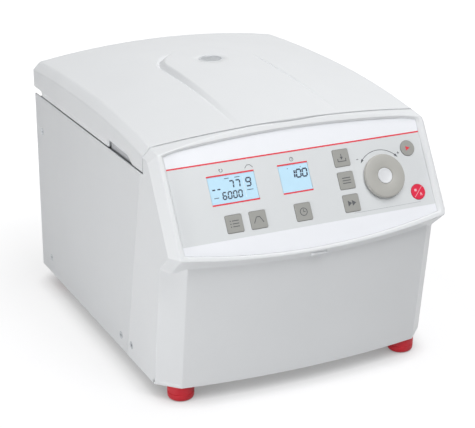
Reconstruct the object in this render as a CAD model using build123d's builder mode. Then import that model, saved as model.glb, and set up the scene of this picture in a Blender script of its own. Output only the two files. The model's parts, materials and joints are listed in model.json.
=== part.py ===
from build123d import *
import os
from math import atan2, cos, degrees, hypot, radians, sin, tan

# Bench cytocentrifuge: sheet-steel body, moulded control front, hinged domed lid,
# and a swing-out rotor that carries glass slides with their sample funnels.
# +X is the operator's right, -Y the front, +Z up. The origin is on the bench,
# below the middle of the whole machine. All sizes are millimetres.

# ---------------------------------------------------------------- driving sizes
# Body
body_width = 280.0
body_depth = 369.0            # rear panel to the tip of the control lip
lid_rear_overhang = 5.0
foot_height = 15.0
panel_rear_height = 192.0     # side panel above its bottom edge, at the rear
panel_front_height = 196.8    # and at its front end
sheet = 1.5                   # steel panels
moulding_wall = 2.8           # moulded plastic shells
seat_gap = 0.3                # between pieces that lie close without touching

# Domed top, shared by the lid and the head of the front moulding
shoulder_peak = 246.3         # highest point of the side shoulder line
shoulder_peak_from_rear = 157.0
rear_drop = 5.9               # shoulder line's drop from its peak to the rear panel
front_drop = 20.7             # and to the tip of the lip, if it ran on that far
crown = 11.5                  # rise from shoulder line to centre line
shoulder_chamfer = 7.1
shoulder_drop = 8.5
corner_radius = 6.0
dome_steps = 7

# Front moulding
seam_behind_lip = 73.0        # lid seam at the sides, behind the tip of the lip
seam_bulge = 10.4             # how far the lid seam bows forward at the middle
seam_gap = 0.8
face_lean = 0.1356            # the lower face steps back by this much per millimetre down
facet_width = 18.5
facet_depth = 19.0
face_bulge = 9.9
face_setback = 54.9           # side edge of the lower face at its foot, behind the lip
lower_face_height = 133.0     # where the lower face runs into the underside of the lip
panel_seam_foot = 123.0       # side seam behind the lip, at its foot
panel_seam_head = 79.0        # and at the side panel's top edge

# Control panel
panel_slope = 59.5            # from the horizontal
label_setback = 56.95         # label's upper corners, behind the lip
label_height = 232.2          # the same corners above the bench
label_length = 89.5           # down the slope at the sides
label_side_margin = 13.0      # from the label's edge to the side of the body
label_top_bow = 7.0
label_bottom_bow = 12.2
label_thickness = 0.8
rim_height = 2.6              # raised rim around the label
lip_side_length = 94.5        # label corner line to the lip, down the slope, at the sides
lip_bow = 11.3
lip_corner = 8.0
bezel_chamfer_depth = 9.6
lip_rake = 40.0               # slope of the underside of the lip
panel_floor = 2.5

# Keys, displays and knob, in (across, down the slope) from the label's corner line
key_size = 15.8
key_corner = 1.2
key_proud = 0.6
key_depth = 5.5
key_travel = 0.8
key_column_gap = 5.3          # between the three keys of the column
key_column_middle = 47.6
key_pitch = key_size + key_column_gap
key_places = {
    "program_key": (-75.2, 69.0),
    "recall_key": (-52.0, 69.0),
    "time_key": (-7.3, 69.0),
    "memory_key": (41.9, key_column_middle - key_pitch),
    "menu_key": (41.9, key_column_middle),
    "quick_key": (41.9, key_column_middle + key_pitch),
}
round_key_radius = 7.2
round_key_places = {"start_key": (111.4, 27.1), "stop_key": (111.9, 68.9)}
display_places = {"speed": (-68.9, 37.8, 45.2, 24.7), "time": (-7.5, 37.6, 29.3, 24.7)}
knob_place = (80.0, 49.5)
knob_radius = 20.3
knob_height = 4.0
encoder_shaft_radius = 3.0

# Chamber and rotor
axis_from_rear = 134.0        # rear panel to the spin axis
bowl_clearance = 8.5          # between the ends of the hanging carriers and the bowl
bowl_wall = 1.0
bowl_depth = 96.0
bowl_corner = 10.0
deck_height = 203.0           # top of the deck above the bench
deck_thickness = 3.0
gasket_width = 6.0
guard_wall = 3.0
pivot_height = 158.0          # carrier trunnions above the bench
pivot_radius = 56.0           # and their distance from the spin axis
carrier_count = 4
carrier_drop = 20.0           # slide below the trunnions
slide_length = 76.0
slide_width = 25.4
slide_thickness = 1.0
clip_end = 1.5                # carrier beyond the end of its slide
trunnion_radius = 2.5
running_gap = 0.05
funnel_radius = 9.0
funnel_wall = 2.6
shaft_radius = 6.0
motor_radius = 45.0
motor_length = 62.0
motor_plate_thickness = 3.0

# Lid
lid_inset = 0.8               # lid side behind the body side
lid_gap = 1.6                 # between the side panel's top edge and the lid skirt
lid_rear_skirt = 213.5        # rear skirt's lower edge above the bench
liner_height = 215.0
liner_thickness = 1.5
tongue_half_width = 50.0
tongue_rise = 3.3
sight_radius = 12.2
hinge_from_rear = 4.0         # hinge pin ahead of the rear panel's face
hinge_radius = 4.0
hinge_pin_radius = 2.4
hinge_spacing = 184.0
hinge_length = 44.0

# ---------------------------------------------------------------- derived places
half_width = body_width / 2
total_depth = body_depth + lid_rear_overhang
front_y = -total_depth / 2
rear_y = total_depth / 2
back_y = rear_y - lid_rear_overhang           # outer face of the rear panel
base_z = foot_height
panel_rear_z = base_z + panel_rear_height
panel_front_z = base_z + panel_front_height
axis_y = back_y - axis_from_rear
deck_z = deck_height
seam_y = front_y + seam_behind_lip
shoulder_peak_y = back_y - shoulder_peak_from_rear
hinge_y = back_y - hinge_from_rear
hinge_z = deck_z + hinge_radius + seat_gap
slope = radians(panel_slope)
panel_inner = half_width - sheet
moulding_inner = half_width - moulding_wall
label_half = half_width - label_side_margin
rim_half = half_width - lip_corner
bowl_floor_z = deck_z - bowl_depth
clip_half = slide_length / 2 + clip_end       # half the length of a slide carrier
bowl_radius = pivot_radius + clip_half + bowl_clearance
gasket_inner = bowl_radius + 11.5 + seat_gap
gasket_outer = gasket_inner + gasket_width
seam_radius = (half_width**2 + seam_bulge**2) / (2 * seam_bulge)
plan_spare = 2.0              # plans reach this far past the sides that the dome sets

label_plane = Plane(
    origin=(0, front_y + label_setback, label_height),
    x_dir=(1, 0, 0),
    z_dir=(0, -sin(slope), cos(slope)),
)
rim_plane = label_plane.offset(rim_height)
floor_depth = label_thickness + panel_floor   # label surface to the back of its floor
board_depth = 12.0                            # label surface to the control board
board_thickness = 1.6

os.makedirs("parts", exist_ok=True)


def save(piece, name):
    """Name a finished piece and write it."""
    piece.label = name
    export_step(piece, f"parts/{name}.step")


def across(y):
    """Plane facing the front at one distance along the body."""
    return Plane.XZ.offset(-y)


def sideways(x):
    """Plane across the body's width; its own axes are Y and Z."""
    return Plane.YZ.offset(x)


# ---------------------------------------------------------------- shared outlines
def shoulder_z(y):
    """Height of the shoulder line at one distance along the body."""
    reach = y - shoulder_peak_y
    if reach > 0:
        return shoulder_peak - rear_drop * (reach / shoulder_peak_from_rear) ** 2
    return shoulder_peak - front_drop * (reach / (body_depth - shoulder_peak_from_rear)) ** 2


def dome_section(y, foot, inset=0.0, lift=0.0):
    """Section of the domed top: upright sides, chamfered shoulders, crowned middle."""
    side = half_width - inset
    shoulder = side - shoulder_chamfer
    top = shoulder_z(y) - inset + lift
    with BuildSketch(across(y)) as section:
        with BuildLine():
            Polyline(
                (shoulder, top),
                (side, top - shoulder_drop),
                (side, foot),
                (-side, foot),
                (-side, top - shoulder_drop),
                (-shoulder, top),
            )
            ThreePointArc((-shoulder, top), (0, top + crown), (shoulder, top))
        make_face()
    return section.sketch


def dome(foot, inset=0.0, rise=0.0):
    """Loft of the domed top over the whole body. A rise fades out towards the lid seam."""
    start = rear_y
    end = front_y - 5
    sections = []
    for i in range(dome_steps):
        y = start + (end - start) * i / (dome_steps - 1)
        fade = min(1.0, max(0.0, (y - seam_y + seam_bulge) / (axis_y - seam_y)))
        sections.append(dome_section(y, foot, inset, rise * fade))
    with BuildPart() as form:
        loft(sections)
    return form.part


def lower_outline(z, inset=0.0):
    """Plan of the front moulding at one height: side, corner facet and bowed face."""
    side = half_width - inset
    edge = front_y + face_setback - face_lean * (z - base_z) + inset
    corner = side - facet_width + inset * 0.4
    face = edge - facet_depth
    with BuildSketch(Plane.XY.offset(z)) as plan:
        with BuildLine():
            Polyline(
                (-corner, face),
                (-side, edge),
                (-side, axis_y),
                (side, axis_y),
                (side, edge),
                (corner, face),
            )
            ThreePointArc((-corner, face), (0, face - face_bulge), (corner, face))
        make_face()
    return plan.sketch


def bezel_outline(depth, inset=0.0):
    """Outline of the control head on a plane parallel to the label, seen square on."""
    side = half_width - inset
    corner = side - lip_corner
    low = -lip_side_length + inset
    head = 60.0
    with BuildSketch(label_plane.offset(depth)) as face:
        with BuildLine():
            Polyline(
                (-corner, low),
                (-side, low + lip_corner),
                (-side, head),
                (side, head),
                (side, low + lip_corner),
                (corner, low),
            )
            ThreePointArc((-corner, low), (0, low - lip_bow), (corner, low))
        make_face()
    return face.sketch


def label_outline(depth, clearance=0.0):
    """Outline of the printed label on a plane parallel to it."""
    side = label_half + clearance
    top = clearance
    low = -label_length - clearance
    with BuildSketch(label_plane.offset(depth)) as face:
        with BuildLine():
            Line((-side, low), (-side, top))
            Line((side, low), (side, top))
            ThreePointArc((-side, top), (0, top + label_top_bow), (side, top))
            ThreePointArc((-side, low), (0, low - label_bottom_bow), (side, low))
        make_face()
    return face.sketch


def seam_plan(height, setback, far_y, width):
    """Plan of everything behind the bowed lid seam, up to far_y. Setback moves the seam back."""
    near_y = seam_y - seam_bulge - 10
    with BuildSketch(Plane.XY.offset(height)) as plan:
        with Locations((0, (near_y + far_y) / 2)):
            Rectangle(width, far_y - near_y)
        with Locations((0, seam_y - seam_bulge + seam_radius)):
            Circle(seam_radius - setback, mode=Mode.INTERSECT)
    return plan.sketch


def side_seam_y(z, setback=0.0):
    """Leaning seam between side panel and front moulding."""
    foot = front_y + panel_seam_foot
    head = front_y + panel_seam_head
    return foot + (head - foot) * (z - base_z) / (panel_front_z - base_z) + setback


# ---------------------------------------------------------------- screws
screw_radius = 2.0
screw_head_radius = 3.8
screw_length = 14.0
foot_screw_sink = 4.0
side_screws = [
    (front_y + 111.2, base_z + 14.6),
    (front_y + 138.3, base_z + 13.7),
    (back_y - 30.0, base_z + 18.0),
    (back_y - 18.2, base_z + 154.7),
]
foot_places = [
    (side * (half_width - 23.4), y) for side in (-1, 1) for y in (front_y + 49.7, back_y - 32.0)
]


def screw_axes():
    """Head-face positions of every housing screw, pointing outwards."""
    axes = []
    for side in (-1, 1):
        for y, z in side_screws:
            axes.append(Plane(origin=(side * half_width, y, z), x_dir=(0, 1, 0), z_dir=(side, 0, 0)))
    for x, y in foot_places:
        axes.append(Plane(origin=(x, y, foot_screw_sink), x_dir=(1, 0, 0), z_dir=(0, 0, -1)))
    return axes


def countersunk(axis, head, shank, length):
    """Cone and shank of one countersunk screw, or of the hole for one."""
    with BuildPart() as form:
        with BuildSketch(axis):
            Circle(head)
        with BuildSketch(axis.offset(-(head - shank))):
            Circle(shank)
        loft()
        with BuildSketch(axis):
            Circle(shank)
        extrude(amount=-length)
    return form.part


def screw_pockets(clearance):
    """Holes for all the screws, to be cut from whatever they pass through."""
    head = screw_head_radius + clearance
    shank = screw_radius + clearance
    with BuildPart() as pockets:
        for axis in screw_axes():
            add(countersunk(axis, head, shank, screw_length + 1))
    return pockets.part


# ---------------------------------------------------------------- side panels
def side_panel(side):
    """Pressed sheet side with a folded-in rear edge and a leaning front edge."""
    outer = side * half_width
    with BuildPart() as panel:
        with BuildSketch(sideways(outer)):
            with BuildLine():
                Polyline(
                    (side_seam_y(base_z, seam_gap / 2), base_z),
                    (side_seam_y(panel_front_z, seam_gap / 2), panel_front_z),
                    (back_y, panel_rear_z),
                    (back_y, base_z),
                    close=True,
                )
            make_face()
        extrude(amount=-side * sheet)
        add(screw_pockets(0.1), mode=Mode.SUBTRACT)
    return panel.part


save(side_panel(-1), "side_panel_left")
save(side_panel(1), "side_panel_right")


# ---------------------------------------------------------------- front moulding
def head_block(inset, floor):
    """Control head: bezel outline raked inwards, shoulder chamfers, dome on top."""
    rake = radians(lip_rake)
    rim = rim_height - floor
    reach = total_depth / 2
    width = half_width - inset
    end_plane = Plane(origin=label_plane.origin, x_dir=(1, 0, 0), z_dir=label_plane.y_dir)
    with BuildPart() as block:
        extrude(bezel_outline(rim, inset), amount=reach, dir=(0, cos(rake), -sin(rake)))
        with BuildSketch(end_plane.offset(-reach)):
            with BuildLine():
                Polyline(
                    (-width + shoulder_chamfer, -rim),
                    (-width, -rim + bezel_chamfer_depth),
                    (-width, reach),
                    (width, reach),
                    (width, -rim + bezel_chamfer_depth),
                    (width - shoulder_chamfer, -rim),
                    close=True,
                )
            make_face()
        extrude(amount=2 * reach, mode=Mode.INTERSECT)
        add(dome(base_z, inset), mode=Mode.INTERSECT)
    return block.part


def foot_block(inset, foot, head):
    """Leaning lower part of the moulding."""
    with BuildPart() as block:
        loft([lower_outline(foot, inset), lower_outline(head, inset)])
    return block.part


def behind_seam(setback, foot, half):
    """Everything behind the bowed lid seam and above one height."""
    with BuildPart() as block:
        extrude(seam_plan(foot, setback, rear_y + 10, 2 * half), amount=shoulder_peak)
    return block.part


def head_hollow():
    """Space inside the control head, with a wall left along the lid seam."""
    with BuildPart() as hollow:
        add(head_block(moulding_wall, rim_height + floor_depth))
        add(behind_seam(-seam_gap / 2 - moulding_wall, deck_z, half_width), mode=Mode.SUBTRACT)
    return hollow.part


def spots(depth, shapes):
    """Sketch of several cut-outs on a plane parallel to the label."""
    with BuildSketch(label_plane.offset(depth)) as sketch:
        for shape in shapes:
            add(shape)
    return sketch.sketch


def square_spot(place, size, corner):
    """Rounded square at one place of the control panel."""
    with BuildSketch() as spot:
        with Locations((place[0], -place[1])):
            RectangleRounded(size, size, corner)
    return spot.sketch


def round_spot(place, radius):
    """Disc at one place of the control panel."""
    with BuildSketch() as spot:
        with Locations((place[0], -place[1])):
            Circle(radius)
    return spot.sketch


def window_spot(place, grow):
    """Display window, grown by a clearance on every side."""
    across_at, down_at, width, height = place
    with BuildSketch() as spot:
        with Locations((across_at, -down_at)):
            Rectangle(width + 2 * grow, height + 2 * grow)
    return spot.sketch


def panel_openings(grow, shaft_clear):
    """All cut-outs that the label and the panel floor share."""
    shapes = [square_spot(place, key_size + 2 * grow, key_corner + grow) for place in key_places.values()]
    shapes += [round_spot(place, round_key_radius + grow) for place in round_key_places.values()]
    shapes += [window_spot(place, grow) for place in display_places.values()]
    shapes.append(round_spot(knob_place, shaft_clear))
    return shapes


lip_root = lower_face_height + 15.0           # top of the leaning block, hidden inside the lip
hollow_head = lower_face_height + 7.0
knob_hole_radius = 6.5
plug_length = 16.0
plug_height = 5.0
plug_travel = 8.0
plug_plane = Plane(
    origin=(0, front_y + 5.0, lower_face_height + 4.6),
    x_dir=(1, 0, 0),
    z_dir=(0, -sin(radians(lip_rake)), -cos(radians(lip_rake))),
)
board_posts = [(-98.0, 25.5), (-98.0, 74.0), (20.0, 50.0), (120.0, 48.0)]
board_post_radius = 4.0

with BuildPart() as front_housing:
    add(foot_block(0, base_z, lip_root))
    add(head_block(0, 0))
    add(foot_block(moulding_wall, base_z - 1, hollow_head), mode=Mode.SUBTRACT)
    add(head_hollow(), mode=Mode.SUBTRACT)
    add(behind_seam(-seam_gap / 2, deck_z, moulding_inner), mode=Mode.SUBTRACT)
    add(behind_seam(-seam_gap / 2, panel_front_z, half_width + plan_spare), mode=Mode.SUBTRACT)
    with BuildSketch(sideways(-half_width - 1)):
        with BuildLine():
            Polyline(
                (side_seam_y(base_z, -seam_gap / 2), base_z - 2),
                (side_seam_y(panel_front_z, -seam_gap / 2), panel_front_z),
                (rear_y, panel_front_z),
                (rear_y, base_z - 2),
                close=True,
            )
        make_face()
    extrude(amount=body_width + 2, mode=Mode.SUBTRACT)
    label_pocket = label_outline(-label_thickness, 0.15)
    extrude(label_pocket, amount=label_thickness + rim_height + 1, mode=Mode.SUBTRACT)
    floor_openings = spots(0, panel_openings(seat_gap, knob_hole_radius))
    extrude(floor_openings, amount=-2 * floor_depth, mode=Mode.SUBTRACT)
    with BuildSketch(label_plane.offset(-floor_depth)):
        for place in board_posts:
            with Locations((place[0], -place[1])):
                Circle(board_post_radius)
    extrude(amount=-(board_depth - floor_depth))
    with BuildSketch(plug_plane.offset(5)):
        SlotOverall(plug_length + 2 * running_gap, plug_height + 2 * running_gap)
    extrude(amount=-22, mode=Mode.SUBTRACT)
    add(screw_pockets(0.1), mode=Mode.SUBTRACT)

save(front_housing.part, "front_housing")


# ---------------------------------------------------------------- release plug
with BuildPart() as release_plug:
    with BuildSketch(plug_plane.offset(1.0)):
        SlotOverall(plug_length, plug_height)
    extrude(amount=-12)
    fillet(release_plug.faces().sort_by(Axis.Y)[0].edges(), 0.6)

save(release_plug.part, "release_plug")


# ---------------------------------------------------------------- label, keys, displays, knob
with BuildPart() as control_overlay:
    extrude(label_outline(0), amount=-label_thickness)
    extrude(spots(1, panel_openings(seat_gap, encoder_shaft_radius + 1)), amount=-4, mode=Mode.SUBTRACT)

save(control_overlay.part, "control_overlay")

panel_axis = Axis(label_plane.origin, label_plane.z_dir)
key_flange = 1.0              # retaining edge behind the panel floor
key_round = 0.4


def key(outline, flange_outline):
    """Key cap through the panel with a retaining flange behind its floor."""
    with BuildPart() as cap:
        extrude(spots(key_proud, [outline]), amount=-(key_proud + key_depth))
        fillet(cap.faces().sort_by(panel_axis)[-1].edges(), key_round)
        flange_start = floor_depth + seat_gap
        extrude(spots(-flange_start, [flange_outline]), amount=-(key_depth - flange_start))
    return cap.part


for name, place in key_places.items():
    cap = key(
        square_spot(place, key_size, key_corner),
        square_spot(place, key_size + 2 * key_flange, key_corner),
    )
    save(cap, name)

for name, place in round_key_places.items():
    cap = key(round_spot(place, round_key_radius), round_spot(place, round_key_radius + key_flange))
    save(cap, name)

glass_thickness = 2.6
glass_sink = 0.2
with BuildPart() as display_glasses:
    panes = [window_spot(place, 0) for place in display_places.values()]
    extrude(spots(-glass_sink, panes), amount=-glass_thickness)

save(display_glasses.part, "display_glasses")

knob_lift = 0.4
knob_dish_radius = 7.0
knob_dish_depth = 1.0
shaft_reach = board_depth + board_thickness + 2
with BuildPart() as control_knob:
    extrude(spots(knob_lift, [round_spot(knob_place, knob_radius)]), amount=knob_height)
    chamfer(control_knob.faces().sort_by(panel_axis)[-1].edges(), 1.2)
    extrude(
        spots(knob_lift + knob_height, [round_spot(knob_place, knob_dish_radius)]),
        amount=-knob_dish_depth,
        mode=Mode.SUBTRACT,
    )
    extrude(
        spots(knob_lift, [round_spot(knob_place, encoder_shaft_radius)]),
        amount=-(shaft_reach + knob_lift),
    )

save(control_knob.part, "control_knob")

board_edges = (-104.0, 126.0, 20.5, 80.0)     # left, right, top and bottom on the panel
encoder_radius = 5.6
encoder_head = 6.0
dome_radius = 3.0
with BuildPart() as control_board:
    left, right, top, bottom = board_edges
    with BuildSketch(label_plane.offset(-board_depth)):
        with Locations(((left + right) / 2, -(top + bottom) / 2)):
            Rectangle(right - left, bottom - top)
    extrude(amount=-board_thickness)
    every_key = list(key_places.values()) + list(round_key_places.values())
    switches = [round_spot(place, dome_radius) for place in every_key]
    extrude(spots(-board_depth, switches), amount=board_depth - key_depth - key_travel - seat_gap)
    screens = [window_spot(place, -1.0) for place in display_places.values()]
    extrude(spots(-board_depth, screens), amount=board_depth - glass_sink - glass_thickness - seat_gap)
    extrude(spots(-board_depth, [round_spot(knob_place, encoder_radius)]), amount=board_depth - encoder_head)
    extrude(
        spots(0, [round_spot(knob_place, encoder_shaft_radius + running_gap)]),
        amount=-2 * board_depth,
        mode=Mode.SUBTRACT,
    )

save(control_board.part, "control_board")


# ---------------------------------------------------------------- base, rear panel, deck
base_flange = 25.0
return_depth = 35.0           # rear panel's side returns
return_start = back_y - sheet - return_depth
post_radius = 8.0
damper_radius = 10.0
damper_spread = 58.0
damper_length = 22.0
bowl_bottom_z = bowl_floor_z - bowl_wall
motor_plate_top = bowl_bottom_z - 6.0
motor_plate_z = motor_plate_top - motor_plate_thickness
post_top = motor_plate_z - damper_length
board_post_height = 8.0
main_board_size = (150.0, 50.0)
main_board_y = front_y + 85.0
main_board_z = base_z + sheet + board_post_height
main_board_posts = (130.0, 36.0)
seam_clear_y = side_seam_y(base_z, seam_gap / 2)

with BuildPart() as base_plate:
    extrude(lower_outline(base_z, moulding_wall), amount=sheet)
    with BuildSketch(Plane.XY.offset(base_z)):
        with Locations((0, (seam_clear_y + back_y - sheet) / 2)):
            Rectangle(2 * panel_inner, back_y - sheet - seam_clear_y)
    extrude(amount=sheet)
    for side in (-1, 1):
        with BuildSketch(Plane.XY.offset(base_z)):
            flange_y = (seam_clear_y + 12 + return_start) / 2
            with Locations((side * (panel_inner - sheet / 2), flange_y)):
                Rectangle(sheet, return_start - seam_clear_y - 14)
            with Locations((side * (moulding_inner - sheet / 2), side_screws[0][0] + 3)):
                Rectangle(sheet, 24)
        extrude(amount=base_flange)
    with BuildSketch(Plane.XY.offset(base_z + sheet)):
        with Locations((0, axis_y)):
            with PolarLocations(damper_spread * 2**0.5, 4, start_angle=45):
                Circle(post_radius)
    extrude(amount=post_top - base_z - sheet)
    with BuildSketch(Plane.XY.offset(base_z + sheet)):
        with Locations((0, main_board_y)):
            with GridLocations(*main_board_posts, 2, 2):
                Circle(3.0)
    extrude(amount=board_post_height)
    with BuildSketch(Plane.XY.offset(base_z)):
        with Locations((0, axis_y)):
            with PolarLocations(26, 12):
                Circle(4.0)
    extrude(amount=sheet, mode=Mode.SUBTRACT)
    add(screw_pockets(0.1), mode=Mode.SUBTRACT)

save(base_plate.part, "base_plate")

inlet_x = -90.0
inlet_z = base_z + 48.0
inlet_cut = (28.0, 56.0)
inlet_flange = (33.0, 61.0)
vent_slot = (34.0, 3.0)
vent_rows = 9
vent_pitch = 8.0
rear_plane = Plane(origin=(0, back_y, 0), x_dir=(-1, 0, 0), z_dir=(0, 1, 0))

with BuildPart() as rear_panel:
    with BuildSketch(rear_plane):
        with Locations((0, (base_z + sheet + deck_z) / 2)):
            Rectangle(2 * panel_inner, deck_z - base_z - sheet)
    extrude(amount=-sheet)
    return_head = deck_z - deck_thickness - seat_gap
    for side in (-1, 1):
        with BuildSketch(sideways(side * panel_inner)):
            return_middle = (base_z + sheet + return_head) / 2
            with Locations((back_y - sheet - return_depth / 2, return_middle)):
                Rectangle(return_depth, return_head - base_z - sheet)
        extrude(amount=-side * sheet)
    with BuildSketch(rear_plane):
        with Locations((-inlet_x, inlet_z)):
            Rectangle(inlet_cut[0] + 2 * seat_gap, inlet_cut[1] + 2 * seat_gap)
        for column in (-48.0, 0.0, 48.0):
            with Locations((column, base_z + 118.0)):
                with GridLocations(1, vent_pitch, 1, vent_rows):
                    SlotOverall(*vent_slot)
    extrude(amount=-sheet, mode=Mode.SUBTRACT)
    add(screw_pockets(0.1), mode=Mode.SUBTRACT)

save(rear_panel.part, "rear_panel")

striker_y = axis_y - gasket_outer - 18.2
striker_slot = (26.0, 8.0)
deck_flange = 12.0
deck_front_y = seam_y - seam_bulge - seam_gap - moulding_wall - 3.0
deck_side_y = side_seam_y(deck_z, seam_gap)
guard_inner = bowl_radius + bowl_wall + 3.0
guard_outer = guard_inner + guard_wall
deck_hole_radius = bowl_radius + bowl_wall + 1.0

with BuildPart() as chamber_deck:
    with BuildSketch(Plane.XY.offset(deck_z)):
        with Locations((0, (deck_side_y + back_y - sheet) / 2)):
            Rectangle(2 * panel_inner, back_y - sheet - deck_side_y)
        with Locations((0, (deck_front_y + deck_side_y) / 2)):
            Rectangle(2 * moulding_inner - 2 * seat_gap, deck_side_y - deck_front_y)
        with Locations((0, axis_y)):
            Circle(deck_hole_radius, mode=Mode.SUBTRACT)
        with Locations((0, striker_y)):
            Rectangle(*striker_slot, mode=Mode.SUBTRACT)
    extrude(amount=-deck_thickness)
    flange_foot = deck_z - deck_thickness - deck_flange
    flange_start = side_seam_y(flange_foot, seam_gap)
    for side in (-1, 1):
        with BuildSketch(sideways(side * panel_inner)):
            with Locations(((flange_start + return_start) / 2, flange_foot + deck_flange / 2)):
                Rectangle(return_start - flange_start - 2, deck_flange)
        extrude(amount=-side * sheet)

save(chamber_deck.part, "chamber_deck")


# ---------------------------------------------------------------- bowl, seal, armour, drive
bowl_hole_radius = 20.0
bowl_flange = 11.5
axis_plane = Plane(origin=(0, axis_y, 0), x_dir=(1, 0, 0), z_dir=(0, -1, 0))
spin_axis = Axis((0, axis_y, 0), (0, 0, 1))


def ring(inner, outer, low, high):
    """Plain ring around the spin axis."""
    with BuildPart() as band:
        with BuildSketch(Plane.XY.offset(low)):
            with Locations((0, axis_y)):
                Circle(outer)
                if inner > 0:
                    Circle(inner, mode=Mode.SUBTRACT)
        extrude(amount=high - low)
    return band.part


with BuildPart() as chamber_bowl:
    with BuildSketch(axis_plane):
        with BuildLine() as wall_line:
            outer_r = bowl_radius + bowl_wall
            Line((bowl_hole_radius, bowl_bottom_z), (outer_r - bowl_corner, bowl_bottom_z))
            RadiusArc(
                (outer_r - bowl_corner, bowl_bottom_z),
                (outer_r, bowl_bottom_z + bowl_corner),
                -bowl_corner,
            )
            Polyline(
                (outer_r, bowl_bottom_z + bowl_corner),
                (outer_r, deck_z),
                (bowl_radius + bowl_flange, deck_z),
                (bowl_radius + bowl_flange, deck_z + bowl_wall),
                (bowl_radius, deck_z + bowl_wall),
                (bowl_radius, bowl_floor_z + bowl_corner - bowl_wall),
            )
            RadiusArc(
                (bowl_radius, bowl_floor_z + bowl_corner - bowl_wall),
                (bowl_radius - bowl_corner + bowl_wall, bowl_floor_z),
                bowl_corner - bowl_wall,
            )
            Polyline(
                (bowl_radius - bowl_corner + bowl_wall, bowl_floor_z),
                (bowl_hole_radius, bowl_floor_z),
                (bowl_hole_radius, bowl_bottom_z),
            )
        make_face()
    revolve(axis=spin_axis)

save(chamber_bowl.part, "chamber_bowl")
save(ring(gasket_inner, gasket_outer, deck_z, liner_height - seat_gap), "chamber_gasket")
save(ring(guard_inner, guard_outer, bowl_floor_z, deck_z - deck_thickness), "guard_ring")

boss_radius = 14.0
boss_top = bowl_floor_z - 2.0
shaft_foot = motor_plate_z - 36.0
hub_foot = pivot_height - 25.0
head_half = 4.0               # half the rotor disc's thickness
head_top = pivot_height + head_half

with BuildPart() as motor:
    add(ring(0, motor_radius, motor_plate_z - motor_length, motor_plate_z))
    add(ring(0, boss_radius, motor_plate_z, boss_top))
    with BuildSketch(Plane.XY.offset(motor_plate_z - motor_length)):
        with Locations((0, axis_y)):
            with PolarLocations(motor_radius, 24):
                Rectangle(3, 2.4)
    extrude(amount=motor_length - 8, mode=Mode.SUBTRACT)
    add(ring(0, shaft_radius + running_gap, shaft_foot, boss_top), mode=Mode.SUBTRACT)

save(motor.part, "motor")

with BuildPart() as motor_plate:
    with BuildSketch(Plane.XY.offset(motor_plate_z)):
        with Locations((0, axis_y)):
            RectangleRounded(2 * damper_spread + 26, 2 * damper_spread + 26, 12)
            Circle(boss_radius + seat_gap, mode=Mode.SUBTRACT)
    extrude(amount=motor_plate_thickness)

save(motor_plate.part, "motor_plate")

with BuildPart() as motor_dampers:
    with BuildSketch(Plane.XY.offset(post_top)):
        with Locations((0, axis_y)):
            with PolarLocations(damper_spread * 2**0.5, 4, start_angle=45):
                Circle(damper_radius)
    extrude(amount=damper_length)

save(motor_dampers.part, "motor_dampers")

thread_radius = 4.0
nut_height = 15.0
with BuildPart() as motor_shaft:
    add(ring(0, shaft_radius, shaft_foot + seat_gap, head_top - 1))
    add(ring(0, shaft_radius + 3, hub_foot - 4, hub_foot))
    add(ring(0, thread_radius, head_top - 1, head_top + nut_height - 3))

save(motor_shaft.part, "motor_shaft")


# ---------------------------------------------------------------- rotor
head_radius = pivot_radius + 16.0
hub_radius = 12.0
carrier_half = 14.5           # half width of a carrier frame
rotor_slot_half = 16.0
rotor_slot_start = pivot_radius - 14.0
trunnion_reach = 20.5

with BuildPart() as rotor_head:
    add(ring(0, head_radius, pivot_height - head_half, head_top))
    add(ring(0, hub_radius, hub_foot, pivot_height))
    with BuildSketch(Plane.XY.offset(pivot_height - head_half)):
        with Locations((0, axis_y)):
            with PolarLocations(rotor_slot_start + 30, carrier_count):
                Rectangle(60, 2 * rotor_slot_half)
    extrude(amount=2 * head_half, mode=Mode.SUBTRACT)
    with BuildSketch(Plane.XY.offset(pivot_height)):
        with Locations((0, axis_y)):
            with PolarLocations(pivot_radius, carrier_count):
                Rectangle(2 * (trunnion_radius + running_gap), 2 * (trunnion_reach + seat_gap))
    extrude(amount=head_half, mode=Mode.SUBTRACT)
    with Locations((0, axis_y, pivot_height)):
        with PolarLocations(pivot_radius, carrier_count):
            Cylinder(
                trunnion_radius + running_gap,
                2 * (trunnion_reach + seat_gap),
                rotation=(90, 0, 0),
                mode=Mode.SUBTRACT,
            )
    add(ring(0, shaft_radius + 0.02, hub_foot, head_top), mode=Mode.SUBTRACT)

save(rotor_head.part, "rotor_head")

with BuildPart() as rotor_nut:
    add(ring(thread_radius + 0.02, 11.0, head_top, head_top + nut_height))
    chamfer(rotor_nut.faces().sort_by(Axis.Z)[-1].edges(), 1.0)
    with BuildSketch(Plane.XY.offset(head_top + 3)):
        with Locations((0, axis_y)):
            with PolarLocations(11.0, 16):
                Circle(1.0)
    extrude(amount=nut_height, mode=Mode.SUBTRACT)

save(rotor_nut.part, "rotor_nut")


# ---------------------------------------------------------------- slide carriers
clip_sheet = 1.2
lip_rise = 2.0
cheek_half = 12.0
cheek_head = 4.5


def carrier_plane(index, height):
    """Level plane at one carrier's trunnions: X points outwards, Y along the trunnions."""
    angle = 360.0 * index / carrier_count
    out = Vector(1, 0, 0).rotate(Axis.Z, angle)
    return Plane(
        origin=(out.X * pivot_radius, axis_y + out.Y * pivot_radius, pivot_height + height),
        x_dir=out,
        z_dir=(0, 0, 1),
    )


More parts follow.
